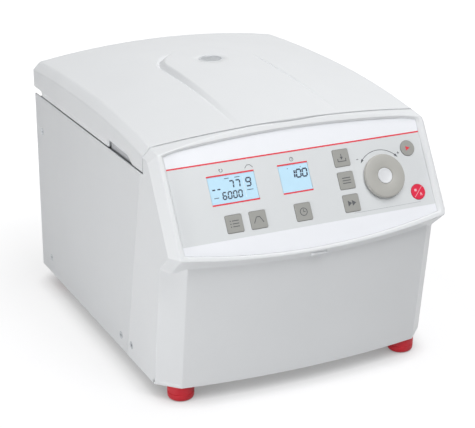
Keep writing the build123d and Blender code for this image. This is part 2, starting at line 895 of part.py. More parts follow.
def slide_clip(index):
    """Folded steel frame: tray, end lips, two cheeks and the trunnion pins."""
    tray = carrier_plane(index, -carrier_drop - clip_sheet)
    with BuildPart() as clip:
        with BuildSketch(tray):
            Rectangle(2 * clip_half, slide_width + 1.6)
            Rectangle(2 * cheek_half, 2 * carrier_half)
        extrude(amount=clip_sheet)
        with BuildSketch(tray):
            for end in (-1, 1):
                with Locations((end * (clip_half - clip_sheet / 2), 0)):
                    Rectangle(clip_sheet, slide_width - 6)
        extrude(amount=clip_sheet + lip_rise)
        upright = carrier_plane(index, 0)
        for side in (-1, 1):
            cheek = Plane(
                origin=upright.origin + upright.y_dir * side * carrier_half,
                x_dir=upright.x_dir,
                z_dir=-upright.y_dir,
            )
            with BuildSketch(cheek):
                with BuildLine():
                    Polyline(
                        (-cheek_half, -carrier_drop - clip_sheet),
                        (cheek_half, -carrier_drop - clip_sheet),
                        (cheek_head, 0),
                        (-cheek_head, 0),
                        close=True,
                    )
                make_face()
                Circle(cheek_head)
            extrude(amount=side * clip_sheet)
            with BuildSketch(cheek):
                Circle(trunnion_radius)
            extrude(amount=-side * (trunnion_reach - carrier_half))
    return clip.part


def glass_slide(index):
    """Microscope slide lying in the tray."""
    with BuildPart() as slide:
        with BuildSketch(carrier_plane(index, -carrier_drop)):
            Rectangle(slide_length, slide_width)
        extrude(amount=slide_thickness)
    return slide.part


funnel_foot = 2.0
funnel_top = 6.0
funnel_outlet = 3.0


def sample_funnel(index):
    """Sample chamber standing on the slide, with a narrow outlet at its foot."""
    low = -carrier_drop + slide_thickness
    with BuildPart() as funnel:
        with BuildSketch(carrier_plane(index, low)):
            RectangleRounded(22, 24, 3)
        extrude(amount=funnel_foot)
        with BuildSketch(carrier_plane(index, low)):
            Circle(funnel_radius)
        extrude(amount=funnel_top - low)
        with BuildSketch(carrier_plane(index, funnel_top)):
            Circle(funnel_radius - funnel_wall)
        extrude(amount=-(funnel_top - low - funnel_foot - 1), mode=Mode.SUBTRACT)
        with BuildSketch(carrier_plane(index, funnel_top)):
            Circle(funnel_outlet)
        extrude(amount=-(funnel_top - low), mode=Mode.SUBTRACT)
    return funnel.part


for number in range(carrier_count):
    save(slide_clip(number), f"slide_clip_{number + 1}")
    save(glass_slide(number), f"glass_slide_{number + 1}")
    save(sample_funnel(number), f"sample_funnel_{number + 1}")


# ---------------------------------------------------------------- lid
skirt_step_y = rear_y - 29.0  # the skirt is cut back behind this
skirt_ramp = 4.0
scoop_start = back_y - 212.0  # finger scoops, from here forwards
scoop_length = 60.0
scoop_height = 11.0
scoop_front_height = 3.0
scoop_depth = 9.0
lid_wall = 3.0
boss_spacing = (224.0, 236.0)
lid_boss_radius = 5.0
rear_lean = 4.0               # the back of the lid leans forward towards its top


def panel_edge_z(y):
    """Top edge of the side panels."""
    span = back_y - side_seam_y(panel_front_z, seam_gap / 2)
    return panel_rear_z + (panel_front_z - panel_rear_z) * (back_y - y) / span


def lid_plan(inset, radius):
    """Plan of the lid: bowed front edge and rounded rear corners."""
    width = 2 * (half_width - inset + plan_spare)
    setback = seam_gap / 2 + inset - lid_inset
    with BuildSketch(Plane.XY.offset(base_z)) as plan:
        add(seam_plan(base_z, setback, rear_y + lid_inset - inset, width))
        fillet(plan.vertices().sort_by(Axis.Y)[-2:], radius + plan_spare)
    return plan.sketch


def lid_form(inset, radius):
    """Solid form of the lid, from deep inside the body up to the dome."""
    with BuildPart() as form:
        extrude(lid_plan(inset, radius), amount=shoulder_peak)
        add(dome(base_z, inset), mode=Mode.INTERSECT)
        with BuildSketch(sideways(-half_width)):
            back = rear_y + lid_inset - inset
            with BuildLine():
                Polyline(
                    (back, shoulder_peak - 15),
                    (back - 2 * rear_lean, shoulder_peak + 15),
                    (back + 10, shoulder_peak + 15),
                    (back + 10, shoulder_peak - 15),
                    close=True,
                )
            make_face()
        extrude(amount=body_width, mode=Mode.SUBTRACT)
    return form.part


sight_top = shoulder_z(axis_y) - lid_inset + crown + tongue_rise
sight_sink = 3.0
sight_bore = 9.5
sight_glass_radius = 10.2
ring_proud = 0.2
boss_middle_y = axis_y - 20.0


def lid_tongue():
    """Raised panel from the middle of the dome to the lid seam."""
    with BuildPart() as tongue:
        with BuildSketch(Plane.XY.offset(liner_height + 20)):
            with Locations((0, axis_y)):
                Circle(tongue_half_width)
            with Locations((0, (axis_y + front_y) / 2)):
                Rectangle(2 * tongue_half_width, axis_y - front_y)
        extrude(amount=60)
        extrude(lid_plan(lid_inset, corner_radius), amount=shoulder_peak, mode=Mode.INTERSECT)
        add(dome(base_z, lid_inset, tongue_rise), mode=Mode.INTERSECT)
    return tongue.part


def lid_hollow():
    """Space inside the lid shell, less the walls of the finger scoops and the screw bosses."""
    with BuildPart() as hollow:
        add(lid_form(lid_inset + lid_wall, corner_radius - lid_wall))
        for side in (-1, 1):
            with BuildSketch(sideways(side * half_width)):
                with Locations((scoop_start - scoop_length / 2, panel_front_z + scoop_height / 2)):
                    Rectangle(scoop_length + 2 * lid_wall, scoop_height + 2 * lid_wall)
            extrude(amount=-side * (scoop_depth + lid_wall), mode=Mode.SUBTRACT)
        with BuildSketch(Plane.XY.offset(liner_height + liner_thickness)):
            with Locations((0, boss_middle_y)):
                with GridLocations(*boss_spacing, 2, 2):
                    Circle(lid_boss_radius)
        extrude(amount=60, mode=Mode.SUBTRACT)
    return hollow.part


with BuildPart() as lid_shell:
    add(lid_form(lid_inset, corner_radius))
    add(lid_tongue())
    add(lid_hollow(), mode=Mode.SUBTRACT)
    for side in (-1, 1):
        with BuildSketch(sideways(side * half_width)):
            with BuildLine():
                low = panel_front_z - 3
                high = panel_front_z + scoop_height
                Polyline(
                    (scoop_start, low),
                    (scoop_start, high),
                    (scoop_start - scoop_length * 0.6, panel_front_z + scoop_front_height + 2),
                )
                Spline(
                    (scoop_start - scoop_length * 0.6, panel_front_z + scoop_front_height + 2),
                    (scoop_start - scoop_length * 0.85, panel_front_z + scoop_front_height - 1),
                    (scoop_start - scoop_length, low),
                )
                Line((scoop_start - scoop_length, low), (scoop_start, low))
            make_face()
        extrude(amount=-side * scoop_depth, mode=Mode.SUBTRACT)
    with BuildSketch(sideways(-half_width - 1)):
        with BuildLine():
            Polyline(
                (rear_y + 10, base_z - 1),
                (rear_y + 10, lid_rear_skirt),
                (skirt_step_y + skirt_ramp, lid_rear_skirt),
                (skirt_step_y, panel_edge_z(skirt_step_y) + lid_gap),
                (front_y, panel_edge_z(front_y) + lid_gap),
                (front_y, base_z - 1),
                close=True,
            )
        make_face()
    extrude(amount=body_width + 2, mode=Mode.SUBTRACT)
    add(ring(0, sight_bore, liner_height, sight_top + 5), mode=Mode.SUBTRACT)
    add(ring(0, sight_radius + 0.1, sight_top - sight_sink, sight_top + 5), mode=Mode.SUBTRACT)

save(lid_shell.part, "lid_shell")

with BuildPart() as sight_ring:
    add(ring(sight_glass_radius, sight_radius, sight_top - sight_sink, sight_top + ring_proud))
    chamfer(sight_ring.faces().sort_by(Axis.Z)[-1].edges(), 0.4)

save(sight_ring.part, "sight_ring")
save(ring(0, sight_glass_radius - 0.05, sight_top - sight_sink, sight_top - 0.6), "sight_glass")


# ---------------------------------------------------------------- lid liner, striker, hinges
liner_inset = lid_inset + lid_wall + seat_gap
liner_setback = seam_gap / 2 + lid_wall + 2 * seat_gap
liner_rear_y = rear_y - lid_wall - 2 * seat_gap
liner_notch_depth = scoop_depth + lid_wall + seat_gap
liner_view_radius = 16.0
arm_width = 12.0
arm_reach = 38.0
arm_flange = 2.5
arm_back = 1.0
hinge_places = (-hinge_spacing / 2, hinge_spacing / 2)

with BuildPart() as lid_liner:
    with BuildSketch(Plane.XY.offset(liner_height)):
        add(seam_plan(liner_height, liner_setback, liner_rear_y, 2 * (half_width - liner_inset)))
        fillet(vertices().sort_by(Axis.Y)[-2:], 4.0)
        with Locations((0, axis_y)):
            Circle(liner_view_radius, mode=Mode.SUBTRACT)
        for side in (-1, 1):
            with Locations((side * half_width, scoop_start - scoop_length / 2)):
                Rectangle(2 * liner_notch_depth, scoop_length + 2 * (lid_wall + seat_gap), mode=Mode.SUBTRACT)
    extrude(amount=liner_thickness)

save(lid_liner.part, "lid_liner")

striker_half = 10.0
striker_sheet = 2.0
striker_window_half = 5.5
pawl_pivot = (striker_y - 8.0, deck_z - 33.0)
nose_height = 22.0            # pawl nose above its pivot
window_low = pawl_pivot[1] + 14.5
striker_foot = window_low - 5.5

with BuildPart() as lid_striker:
    with BuildSketch(Plane.XY.offset(liner_height)):
        with Locations((0, striker_y + 5)):
            Rectangle(2 * striker_half + 8, 10 + striker_sheet)
    extrude(amount=-striker_sheet)
    with BuildSketch(across(striker_y)):
        with Locations((0, (striker_foot + liner_height - striker_sheet) / 2)):
            Rectangle(2 * striker_half, liner_height - striker_sheet - striker_foot)
        with Locations((0, window_low + 5.5)):
            Rectangle(2 * striker_window_half, 11, mode=Mode.SUBTRACT)
    extrude(amount=striker_sheet / 2, both=True)

save(lid_striker.part, "lid_striker")


def hinge_profile(x, width, draw):
    """Extrude one hinge shape, drawn in Y and Z, across a width centred on x."""
    with BuildPart() as form:
        with BuildSketch(sideways(x - width / 2)):
            add(draw)
        extrude(amount=width)
    return form.part


def eye_outline(low_y, high_y, low_z, high_z):
    """Round hinge eye joined to one rectangle."""
    with BuildSketch() as outline:
        with Locations((hinge_y, hinge_z)):
            Circle(hinge_radius)
        with Locations(((low_y + high_y) / 2, (low_z + high_z) / 2)):
            Rectangle(high_y - low_y, high_z - low_z)
    return outline.sketch


leaf_thickness = 2.0
leaf_reach = 20.0
eye_width = 6.0
spring_width = 7.0
pin_bore = hinge_pin_radius + running_gap

with BuildPart() as lid_hinge_arms:
    for x in hinge_places:
        upright = eye_outline(hinge_y - hinge_radius, hinge_y + arm_back, hinge_z, liner_height)
        add(hinge_profile(x, arm_width, upright))
        with BuildSketch(Plane.XY.offset(liner_height)):
            with Locations((x, hinge_y + arm_back - arm_reach / 2)):
                Rectangle(arm_width + 8, arm_reach)
        extrude(amount=-arm_flange)
        with BuildSketch(sideways(x - arm_width)):
            with Locations((hinge_y, hinge_z)):
                Circle(pin_bore)
        extrude(amount=2 * arm_width, mode=Mode.SUBTRACT)

save(lid_hinge_arms.part, "lid_hinge_arms")

with BuildPart() as hinge_brackets:
    for x in hinge_places:
        with BuildSketch(Plane.XY.offset(deck_z)):
            with Locations((x, hinge_y - hinge_radius - leaf_reach / 2)):
                Rectangle(hinge_length, leaf_reach)
        extrude(amount=leaf_thickness)
        for end in (-1, 1):
            place = x + end * (hinge_length - eye_width) / 2
            foot = eye_outline(hinge_y - hinge_radius - 1, hinge_y, deck_z, deck_z + leaf_thickness)
            add(hinge_profile(place, eye_width, foot))
        with BuildSketch(sideways(x - hinge_length)):
            with Locations((hinge_y, hinge_z)):
                Circle(hinge_pin_radius + 0.02)
        extrude(amount=2 * hinge_length, mode=Mode.SUBTRACT)

save(hinge_brackets.part, "hinge_brackets")

with BuildPart() as hinge_pins:
    for x in hinge_places:
        with BuildSketch(sideways(x - hinge_length / 2 - 1)):
            with Locations((hinge_y, hinge_z)):
                Circle(hinge_pin_radius)
        extrude(amount=hinge_length + 2)

save(hinge_pins.part, "hinge_pins")

spring_inner = hinge_pin_radius + 0.1
spring_outer = hinge_radius - 0.3
with BuildPart() as hinge_springs:
    for x in hinge_places:
        for end in (-1, 1):
            start = x + end * (arm_width / 2 + 1.5)
            with BuildSketch(sideways(start)):
                with Locations((hinge_y, hinge_z)):
                    Circle(spring_outer)
                    Circle(spring_inner, mode=Mode.SUBTRACT)
            extrude(amount=end * spring_width)

save(hinge_springs.part, "hinge_springs")


# ---------------------------------------------------------------- latch
latch_half = 17.0
latch_wall = 2.0
latch_front_y = striker_y - 26.0
latch_rear_y = striker_y + 12.0
latch_foot = pawl_pivot[1] - 20.0
latch_head = deck_z - deck_thickness
pawl_half = 4.0
pawl_pin_radius = 3.0
tail_half = 1.5
tail_length = 15.0
plunger_radius = 3.9
plunger_z = pawl_pivot[1] - 13.0
fork_half = 3.4

with BuildPart() as latch_housing:
    with BuildSketch(Plane.XY.offset(latch_head)):
        with Locations((0, (latch_front_y + latch_rear_y) / 2)):
            Rectangle(2 * latch_half, latch_rear_y - latch_front_y)
            Rectangle(
                2 * (latch_half - latch_wall),
                latch_rear_y - latch_front_y - 2 * latch_wall,
                mode=Mode.SUBTRACT,
            )
    extrude(amount=-(latch_head - latch_foot))
    with BuildSketch(sideways(-latch_half - 1)):
        with Locations(pawl_pivot):
            Circle(pawl_pin_radius + running_gap)
    extrude(amount=2 * latch_half + 2, mode=Mode.SUBTRACT)
    with BuildSketch(across(latch_front_y - 1)):
        with Locations((0, plunger_z)):
            Circle(plunger_radius + 0.6)
    extrude(amount=-latch_wall - 2, mode=Mode.SUBTRACT)

save(latch_housing.part, "latch_housing")

with BuildPart() as latch_pawl:
    pivot_y, pivot_z = pawl_pivot
    with BuildSketch(sideways(-pawl_half)):
        with BuildLine():
            Polyline(
                (pivot_y - 3, pivot_z),
                (pivot_y - 3, pivot_z + nose_height + 2),
                (pivot_y + 5.5, pivot_z + nose_height + 2),
                (pivot_y + 5.5, pivot_z + nose_height - 2),
                (pivot_y + 3, pivot_z + nose_height - 6),
                (pivot_y + 3, pivot_z),
                close=True,
            )
        make_face()
        with Locations(pawl_pivot):
            Circle(5.0)
    extrude(amount=2 * pawl_half)
    with BuildSketch(sideways(-tail_half)):
        with Locations((pivot_y, pivot_z - tail_length / 2)):
            Rectangle(4, tail_length)
    extrude(amount=2 * tail_half)
    with BuildSketch(sideways(-latch_half)):
        with Locations(pawl_pivot):
            Circle(pawl_pin_radius)
    extrude(amount=2 * latch_half)

save(latch_pawl.part, "latch_pawl")

solenoid_length = 30.0
plunger_front = latch_front_y - 20.0
with BuildPart() as latch_solenoid:
    with BuildSketch(across(latch_front_y)):
        with Locations((0, plunger_z)):
            Rectangle(26, 22)
    extrude(amount=solenoid_length)
    with BuildSketch(across(latch_front_y)):
        with Locations((0, plunger_z)):
            Circle(plunger_radius + running_gap)
    extrude(amount=solenoid_length - 4, mode=Mode.SUBTRACT)

save(latch_solenoid.part, "latch_solenoid")

with BuildPart() as solenoid_plunger:
    with BuildSketch(across(plunger_front)):
        with Locations((0, plunger_z)):
            Circle(plunger_radius)
    extrude(amount=-(pivot_y + 8 - plunger_front))
    with BuildSketch(Plane.XY.offset(plunger_z)):
        with Locations((0, pivot_y)):
            Rectangle(2 * tail_half + 1, 2 * fork_half)
    extrude(amount=plunger_radius + 1, both=True, mode=Mode.SUBTRACT)

save(solenoid_plunger.part, "solenoid_plunger")


# ---------------------------------------------------------------- mains entry
module_depth = 30.0
inlet_flange_thickness = 2.0
socket_size = (24.5, 16.5)
socket_depth = 17.0
socket_z = inlet_z - 17.0
fuse_z = inlet_z + 1.0
fuse_size = (23.0, 7.0)
fuse_depth = 20.0
rocker_z = inlet_z + 17.0
rocker_size = (20.0, 12.0)
rocker_opening = (20.8, 14.2)
rocker_tilt = 8.0
rocker_pin_radius = 1.2
rocker_reach = 11.5           # half the length of the rocker with its pins
rocker_pivot_y = back_y - 1.0
contact_size = (2.0, 4.0)
contact_places = [(-7.0, -2.0), (7.0, -2.0), (0.0, 2.0)]


def back_sketch(sink, places, size):
    """Rectangles on a plane parallel to the rear panel, sunk into the body by sink."""
    with BuildSketch(rear_plane.offset(inlet_flange_thickness - sink)) as sketch:
        for place in places:
            with Locations((-place[0], place[1])):
                Rectangle(*size)
    return sketch.sketch


with BuildPart() as power_inlet:
    extrude(back_sketch(0, [(inlet_x, inlet_z)], inlet_flange), amount=-inlet_flange_thickness)
    extrude(back_sketch(inlet_flange_thickness, [(inlet_x, inlet_z)], inlet_cut), amount=-module_depth)
    extrude(back_sketch(0, [(inlet_x, socket_z)], socket_size), amount=-socket_depth, mode=Mode.SUBTRACT)
    fuse_bay = (fuse_size[0] + 2 * seat_gap, fuse_size[1] + 2 * seat_gap)
    extrude(back_sketch(0, [(inlet_x, fuse_z)], fuse_bay), amount=-fuse_depth - seat_gap, mode=Mode.SUBTRACT)
    extrude(back_sketch(0, [(inlet_x, rocker_z)], rocker_opening), amount=-socket_depth, mode=Mode.SUBTRACT)
    contacts = [(inlet_x + x, socket_z + z) for x, z in contact_places]
    extrude(back_sketch(4.0, contacts, contact_size), amount=-(socket_depth - 4.0))
    with BuildSketch(sideways(inlet_x - rocker_reach - seat_gap)):
        with Locations((rocker_pivot_y, rocker_z)):
            Circle(rocker_pin_radius + running_gap)
    extrude(amount=2 * (rocker_reach + seat_gap), mode=Mode.SUBTRACT)

save(power_inlet.part, "power_inlet")

with BuildPart() as fuse_drawer:
    extrude(back_sketch(0, [(inlet_x, fuse_z)], fuse_size), amount=-fuse_depth)
    extrude(back_sketch(-1.2, [(inlet_x, fuse_z)], (fuse_size[0] + 1.4, fuse_size[1] + 1.4)), amount=-0.9)
    extrude(back_sketch(-0.3, [(inlet_x, fuse_z)], fuse_size), amount=-0.6)

save(fuse_drawer.part, "fuse_drawer")

tilt = radians(rocker_tilt)
rocker_plane = Plane(
    origin=(inlet_x - rocker_size[0] / 2, rocker_pivot_y, rocker_z),
    x_dir=(0, cos(tilt), sin(tilt)),
    z_dir=(1, 0, 0),
)
with BuildPart() as power_switch:
    half = rocker_size[1] / 2
    with BuildSketch(rocker_plane):
        with BuildLine():
            Polyline(
                (-6, -half + 1.5),
                (4.2, -half),
                (2.6, 0),
                (4.2, half),
                (-6, half - 1.5),
                close=True,
            )
        make_face()
    extrude(amount=rocker_size[0])
    with BuildSketch(sideways(inlet_x - rocker_reach)):
        with Locations((rocker_pivot_y, rocker_z)):
            Circle(rocker_pin_radius)
    extrude(amount=2 * rocker_reach)

save(power_switch.part, "power_switch")


# ---------------------------------------------------------------- main board
with BuildPart() as main_board:
    with BuildSketch(Plane.XY.offset(main_board_z)):
        with Locations((0, main_board_y)):
            Rectangle(*main_board_size)
    extrude(amount=board_thickness)
    with BuildSketch(Plane.XY.offset(main_board_z + board_thickness)):
        with Locations((-42, main_board_y)):
            Rectangle(44, 38)
    extrude(amount=34)
    with BuildSketch(Plane.XY.offset(main_board_z + board_thickness)):
        with Locations((12, main_board_y - 8), (34, main_board_y - 8)):
            Circle(8.5)
    extrude(amount=28)
    with BuildSketch(Plane.XY.offset(main_board_z + board_thickness)):
        with Locations((23, main_board_y + 15)):
            Rectangle(56, 4)
    extrude(amount=22)

save(main_board.part, "main_board")


# ---------------------------------------------------------------- feet and screws
foot_top_radius = 12.6
foot_tread_radius = 9.5
foot_edge = 3.0

with BuildPart() as feet:
    for x, y in foot_places:
        upright = Plane(origin=(x, y, 0), x_dir=(1, 0, 0), z_dir=(0, -1, 0))
        with BuildSketch(upright):
            with BuildLine():
                Line((0, 0), (foot_tread_radius - foot_edge, 0))
                RadiusArc((foot_tread_radius - foot_edge, 0), (foot_tread_radius, foot_edge), -foot_edge)
                Polyline(
                    (foot_tread_radius, foot_edge),
                    (foot_top_radius, foot_height - 3),
                    (foot_top_radius, foot_height),
                    (0, foot_height),
                    (0, 0),
                )
            make_face()
        revolve(axis=Axis((x, y, 0), (0, 0, 1)))
        with BuildSketch():
            with Locations((x, y)):
                Circle(screw_head_radius + 1)
        extrude(amount=foot_screw_sink, mode=Mode.SUBTRACT)
    add(screw_pockets(0.02), mode=Mode.SUBTRACT)

save(feet.part, "feet")

with BuildPart() as screws:
    for axis in screw_axes():
        add(countersunk(axis, screw_head_radius, screw_radius, screw_length))

save(screws.part, "screws")
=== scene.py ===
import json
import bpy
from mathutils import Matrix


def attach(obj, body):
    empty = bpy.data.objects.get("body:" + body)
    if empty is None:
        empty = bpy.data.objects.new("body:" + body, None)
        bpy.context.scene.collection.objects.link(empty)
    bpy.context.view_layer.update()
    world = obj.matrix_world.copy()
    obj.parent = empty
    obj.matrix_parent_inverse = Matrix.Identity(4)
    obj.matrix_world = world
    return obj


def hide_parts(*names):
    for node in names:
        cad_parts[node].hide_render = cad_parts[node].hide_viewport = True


bl_info = {
    "name": "Bench Cytocentrifuge",
    "version": (1, 0, 0),
    "blender": (4, 5, 0),
    "location": "3D View > Sidebar > Cytocentrifuge",
    "description": "Moulded, printed and plated finishes of a bench cytocentrifuge",
    "category": "Object",
}

from math import cos, hypot, pi, radians, sin, sqrt, tan

import bmesh
import bpy
from mathutils import Vector

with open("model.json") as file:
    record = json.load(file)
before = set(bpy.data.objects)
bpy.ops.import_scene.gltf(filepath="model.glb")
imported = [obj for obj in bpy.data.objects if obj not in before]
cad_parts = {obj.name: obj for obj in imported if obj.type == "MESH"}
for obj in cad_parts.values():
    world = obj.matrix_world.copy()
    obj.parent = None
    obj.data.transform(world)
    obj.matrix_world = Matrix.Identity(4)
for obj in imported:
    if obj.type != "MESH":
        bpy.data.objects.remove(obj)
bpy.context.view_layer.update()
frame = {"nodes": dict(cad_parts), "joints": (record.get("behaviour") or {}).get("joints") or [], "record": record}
MM = 0.001
AXIS_Y = next(joint["pos_m"][1] for joint in frame["joints"] if joint["name"] == "rotor_spin") / MM
IMAGE_WIDTH = 475
X_AXIS = Vector((1, 0, 0))
Z_AXIS = Vector((0, 0, 1))


# ---------------------------------------------------------------- sizes and colours
def linear(code):
    """Linear colour of an sRGB hex value."""
    parts = [int(code[i : i + 2], 16) / 255 for i in (1, 3, 5)]
    return [p / 12.92 if p <= 0.04045 else ((p + 0.055) / 1.055) ** 2.4 for p in parts]


def length(name, value, about):
    """Length property whose default is in millimetres."""
    return bpy.props.FloatProperty(
        name=name, description=about, default=value * MM, unit="LENGTH", subtype="DISTANCE", precision=5
    )


def colour(name, code, about):
    """Colour property whose default is an sRGB hex value."""
    return bpy.props.FloatVectorProperty(
        name=name, description=about, default=linear(code), subtype="COLOR", size=3, min=0, max=1
    )


class CytoSizes(bpy.types.PropertyGroup):
    """Sizes of the moulded and printed details, in metres."""

    edge_radius: length("Moulded edges", 1.1, "Radius of the moulded housing's outer edges")
    sheet_radius: length("Sheet edges", 0.5, "Radius on the edges of the steel sheet")
    shoulder_radius: length("Shoulder edges", 3.2, "Radius where the lid's shoulder meets side and top")
    tongue_half: length("Tongue half width", 50.0, "Half the width of the raised panel on the lid")
    tongue_rise: length("Tongue rise", 3.3, "Height of the raised panel at its rear end")
    tongue_wall: length("Tongue wall", 4.6, "Width of the sloping wall round the raised panel")
    red_line: length("Red line", 1.35, "Width of the red line across the label")
    ink: length("Ink", 0.06, "Thickness of the printed lines")


class CytoColours(bpy.types.PropertyGroup):
    """Colours of the finishes."""

    housing: colour("Housing", "#E9EBED", "Moulded housing and lid")
    sheet: colour("Sheet", "#E5E7E9", "Powder-coated sheet sides and back")
    label_white: colour("Label white", "#F4F6FB", "Label above the red line and below the keys")
    label_grey: colour("Label grey", "#DEE1E3", "Label between the two white bands")
    label_red: colour("Label red", "#E52A3E", "Red lines of the label")
    ink: colour("Ink", "#3F434B", "Dark printed lines")
    display: colour("Display", "#BFE3F7", "Backlit display windows")
    digit: colour("Digits", "#1B2A44", "Segments of the displays")
    key: colour("Keys", "#A0A09C", "Square and round keys")
    knob: colour("Knob", "#B4B3AE", "Turning knob")
    stop: colour("Stop key", "#E3093F", "Stop key")
    feet: colour("Feet", "#C9182A", "Rubber feet")


def sizes():
    """The sizes in use."""
    return bpy.context.scene.cyto_sizes


def colours():
    """The colours in use."""
    return bpy.context.scene.cyto_colours


# ---------------------------------------------------------------- finishes
def add_node(tree, kind, values=None, links=None, **settings):
    """Adds one node with its settings, socket values and incoming links."""
    node = tree.nodes.new(kind)
    for setting, value in settings.items():
        setattr(node, setting, value)
    for socket, value in (values or {}).items():
        node.inputs[socket].default_value = value
    for socket, sources in (links or {}).items():
        for source in sources if isinstance(sources, list) else [sources]:
            tree.links.new(source, node.inputs[socket])
    return node


def opaque(rgb):
    """Colour with full alpha."""
    return (rgb[0], rgb[1], rgb[2], 1.0)


def shade(rgb, factor):
    """Colour made lighter or darker, with full alpha."""
    return tuple(min(1.0, part * factor) for part in rgb[:3]) + (1.0,)


def new_finish(name, base, grains, shades, gloss, depth, values=None, detail=2.0, stretch=None):
    """Material whose colour, roughness and height each follow a noise on the Object coordinates.

    base is a hex value or the name of a colour in the panel. grains are the sizes of the three noises in
    millimetres, shades and gloss the ranges of the colour and of the roughness, depth the height of the
    grain in millimetres, and stretch draws the noise out into brushed lines.
    """
    base = linear(base) if base.startswith("#") else getattr(colours(), base)
    material = bpy.data.materials.new(name)
    material.use_nodes = True
    material.diffuse_color = opaque(base)
    tree = material.node_tree
    tree.nodes.clear()
    place = add_node(tree, "ShaderNodeTexCoord").outputs["Object"]
    if stretch:
        place = add_node(tree, "ShaderNodeMapping", {"Scale": stretch}, {"Vector": place}).outputs["Vector"]
    tone, wear, grain = [
        add_node(
            tree, "ShaderNodeTexNoise", {"Scale": 1 / (size * MM), "Detail": detail, "Roughness": 0.5},
            {"Vector": place},
        ).outputs["Fac"]
        for size in grains
    ]
    dye = add_node(
        tree, "ShaderNodeMix", {6: shade(base, shades[0]), 7: shade(base, shades[1])}, {"Factor": tone},
        data_type="RGBA",
    ).outputs[2]
    sheen = add_node(
        tree, "ShaderNodeMapRange",
        {"From Min": 0.3, "From Max": 0.7, "To Min": gloss[0], "To Max": gloss[1]}, {"Value": wear},
    ).outputs["Result"]
    bump = add_node(
        tree, "ShaderNodeBump", {"Strength": 1.0, "Distance": depth * MM}, {"Height": grain}
    ).outputs["Normal"]
    values = {"Base Color": opaque(base), "Roughness": sum(gloss) / 2, **(values or {})}
    links = {"Base Color": dye, "Roughness": sheen, "Normal": bump}
    if "Emission Strength" in values:
        links["Emission Color"] = dye
    shader = add_node(tree, "ShaderNodeBsdfPrincipled", values, links)
    add_node(tree, "ShaderNodeOutputMaterial", None, {"Surface": shader.outputs["BSDF"]})
    return material


def even(base, roughness, grain, depth, spread=0.04, values=None):
    """Settings of a finish whose patterns all take their size from its grain, in millimetres."""
    grains = (12 * grain, 6 * grain, grain)
    return base, grains, (1 - spread, 1 + spread / 2), (roughness * 0.9, roughness * 1.12), depth, values


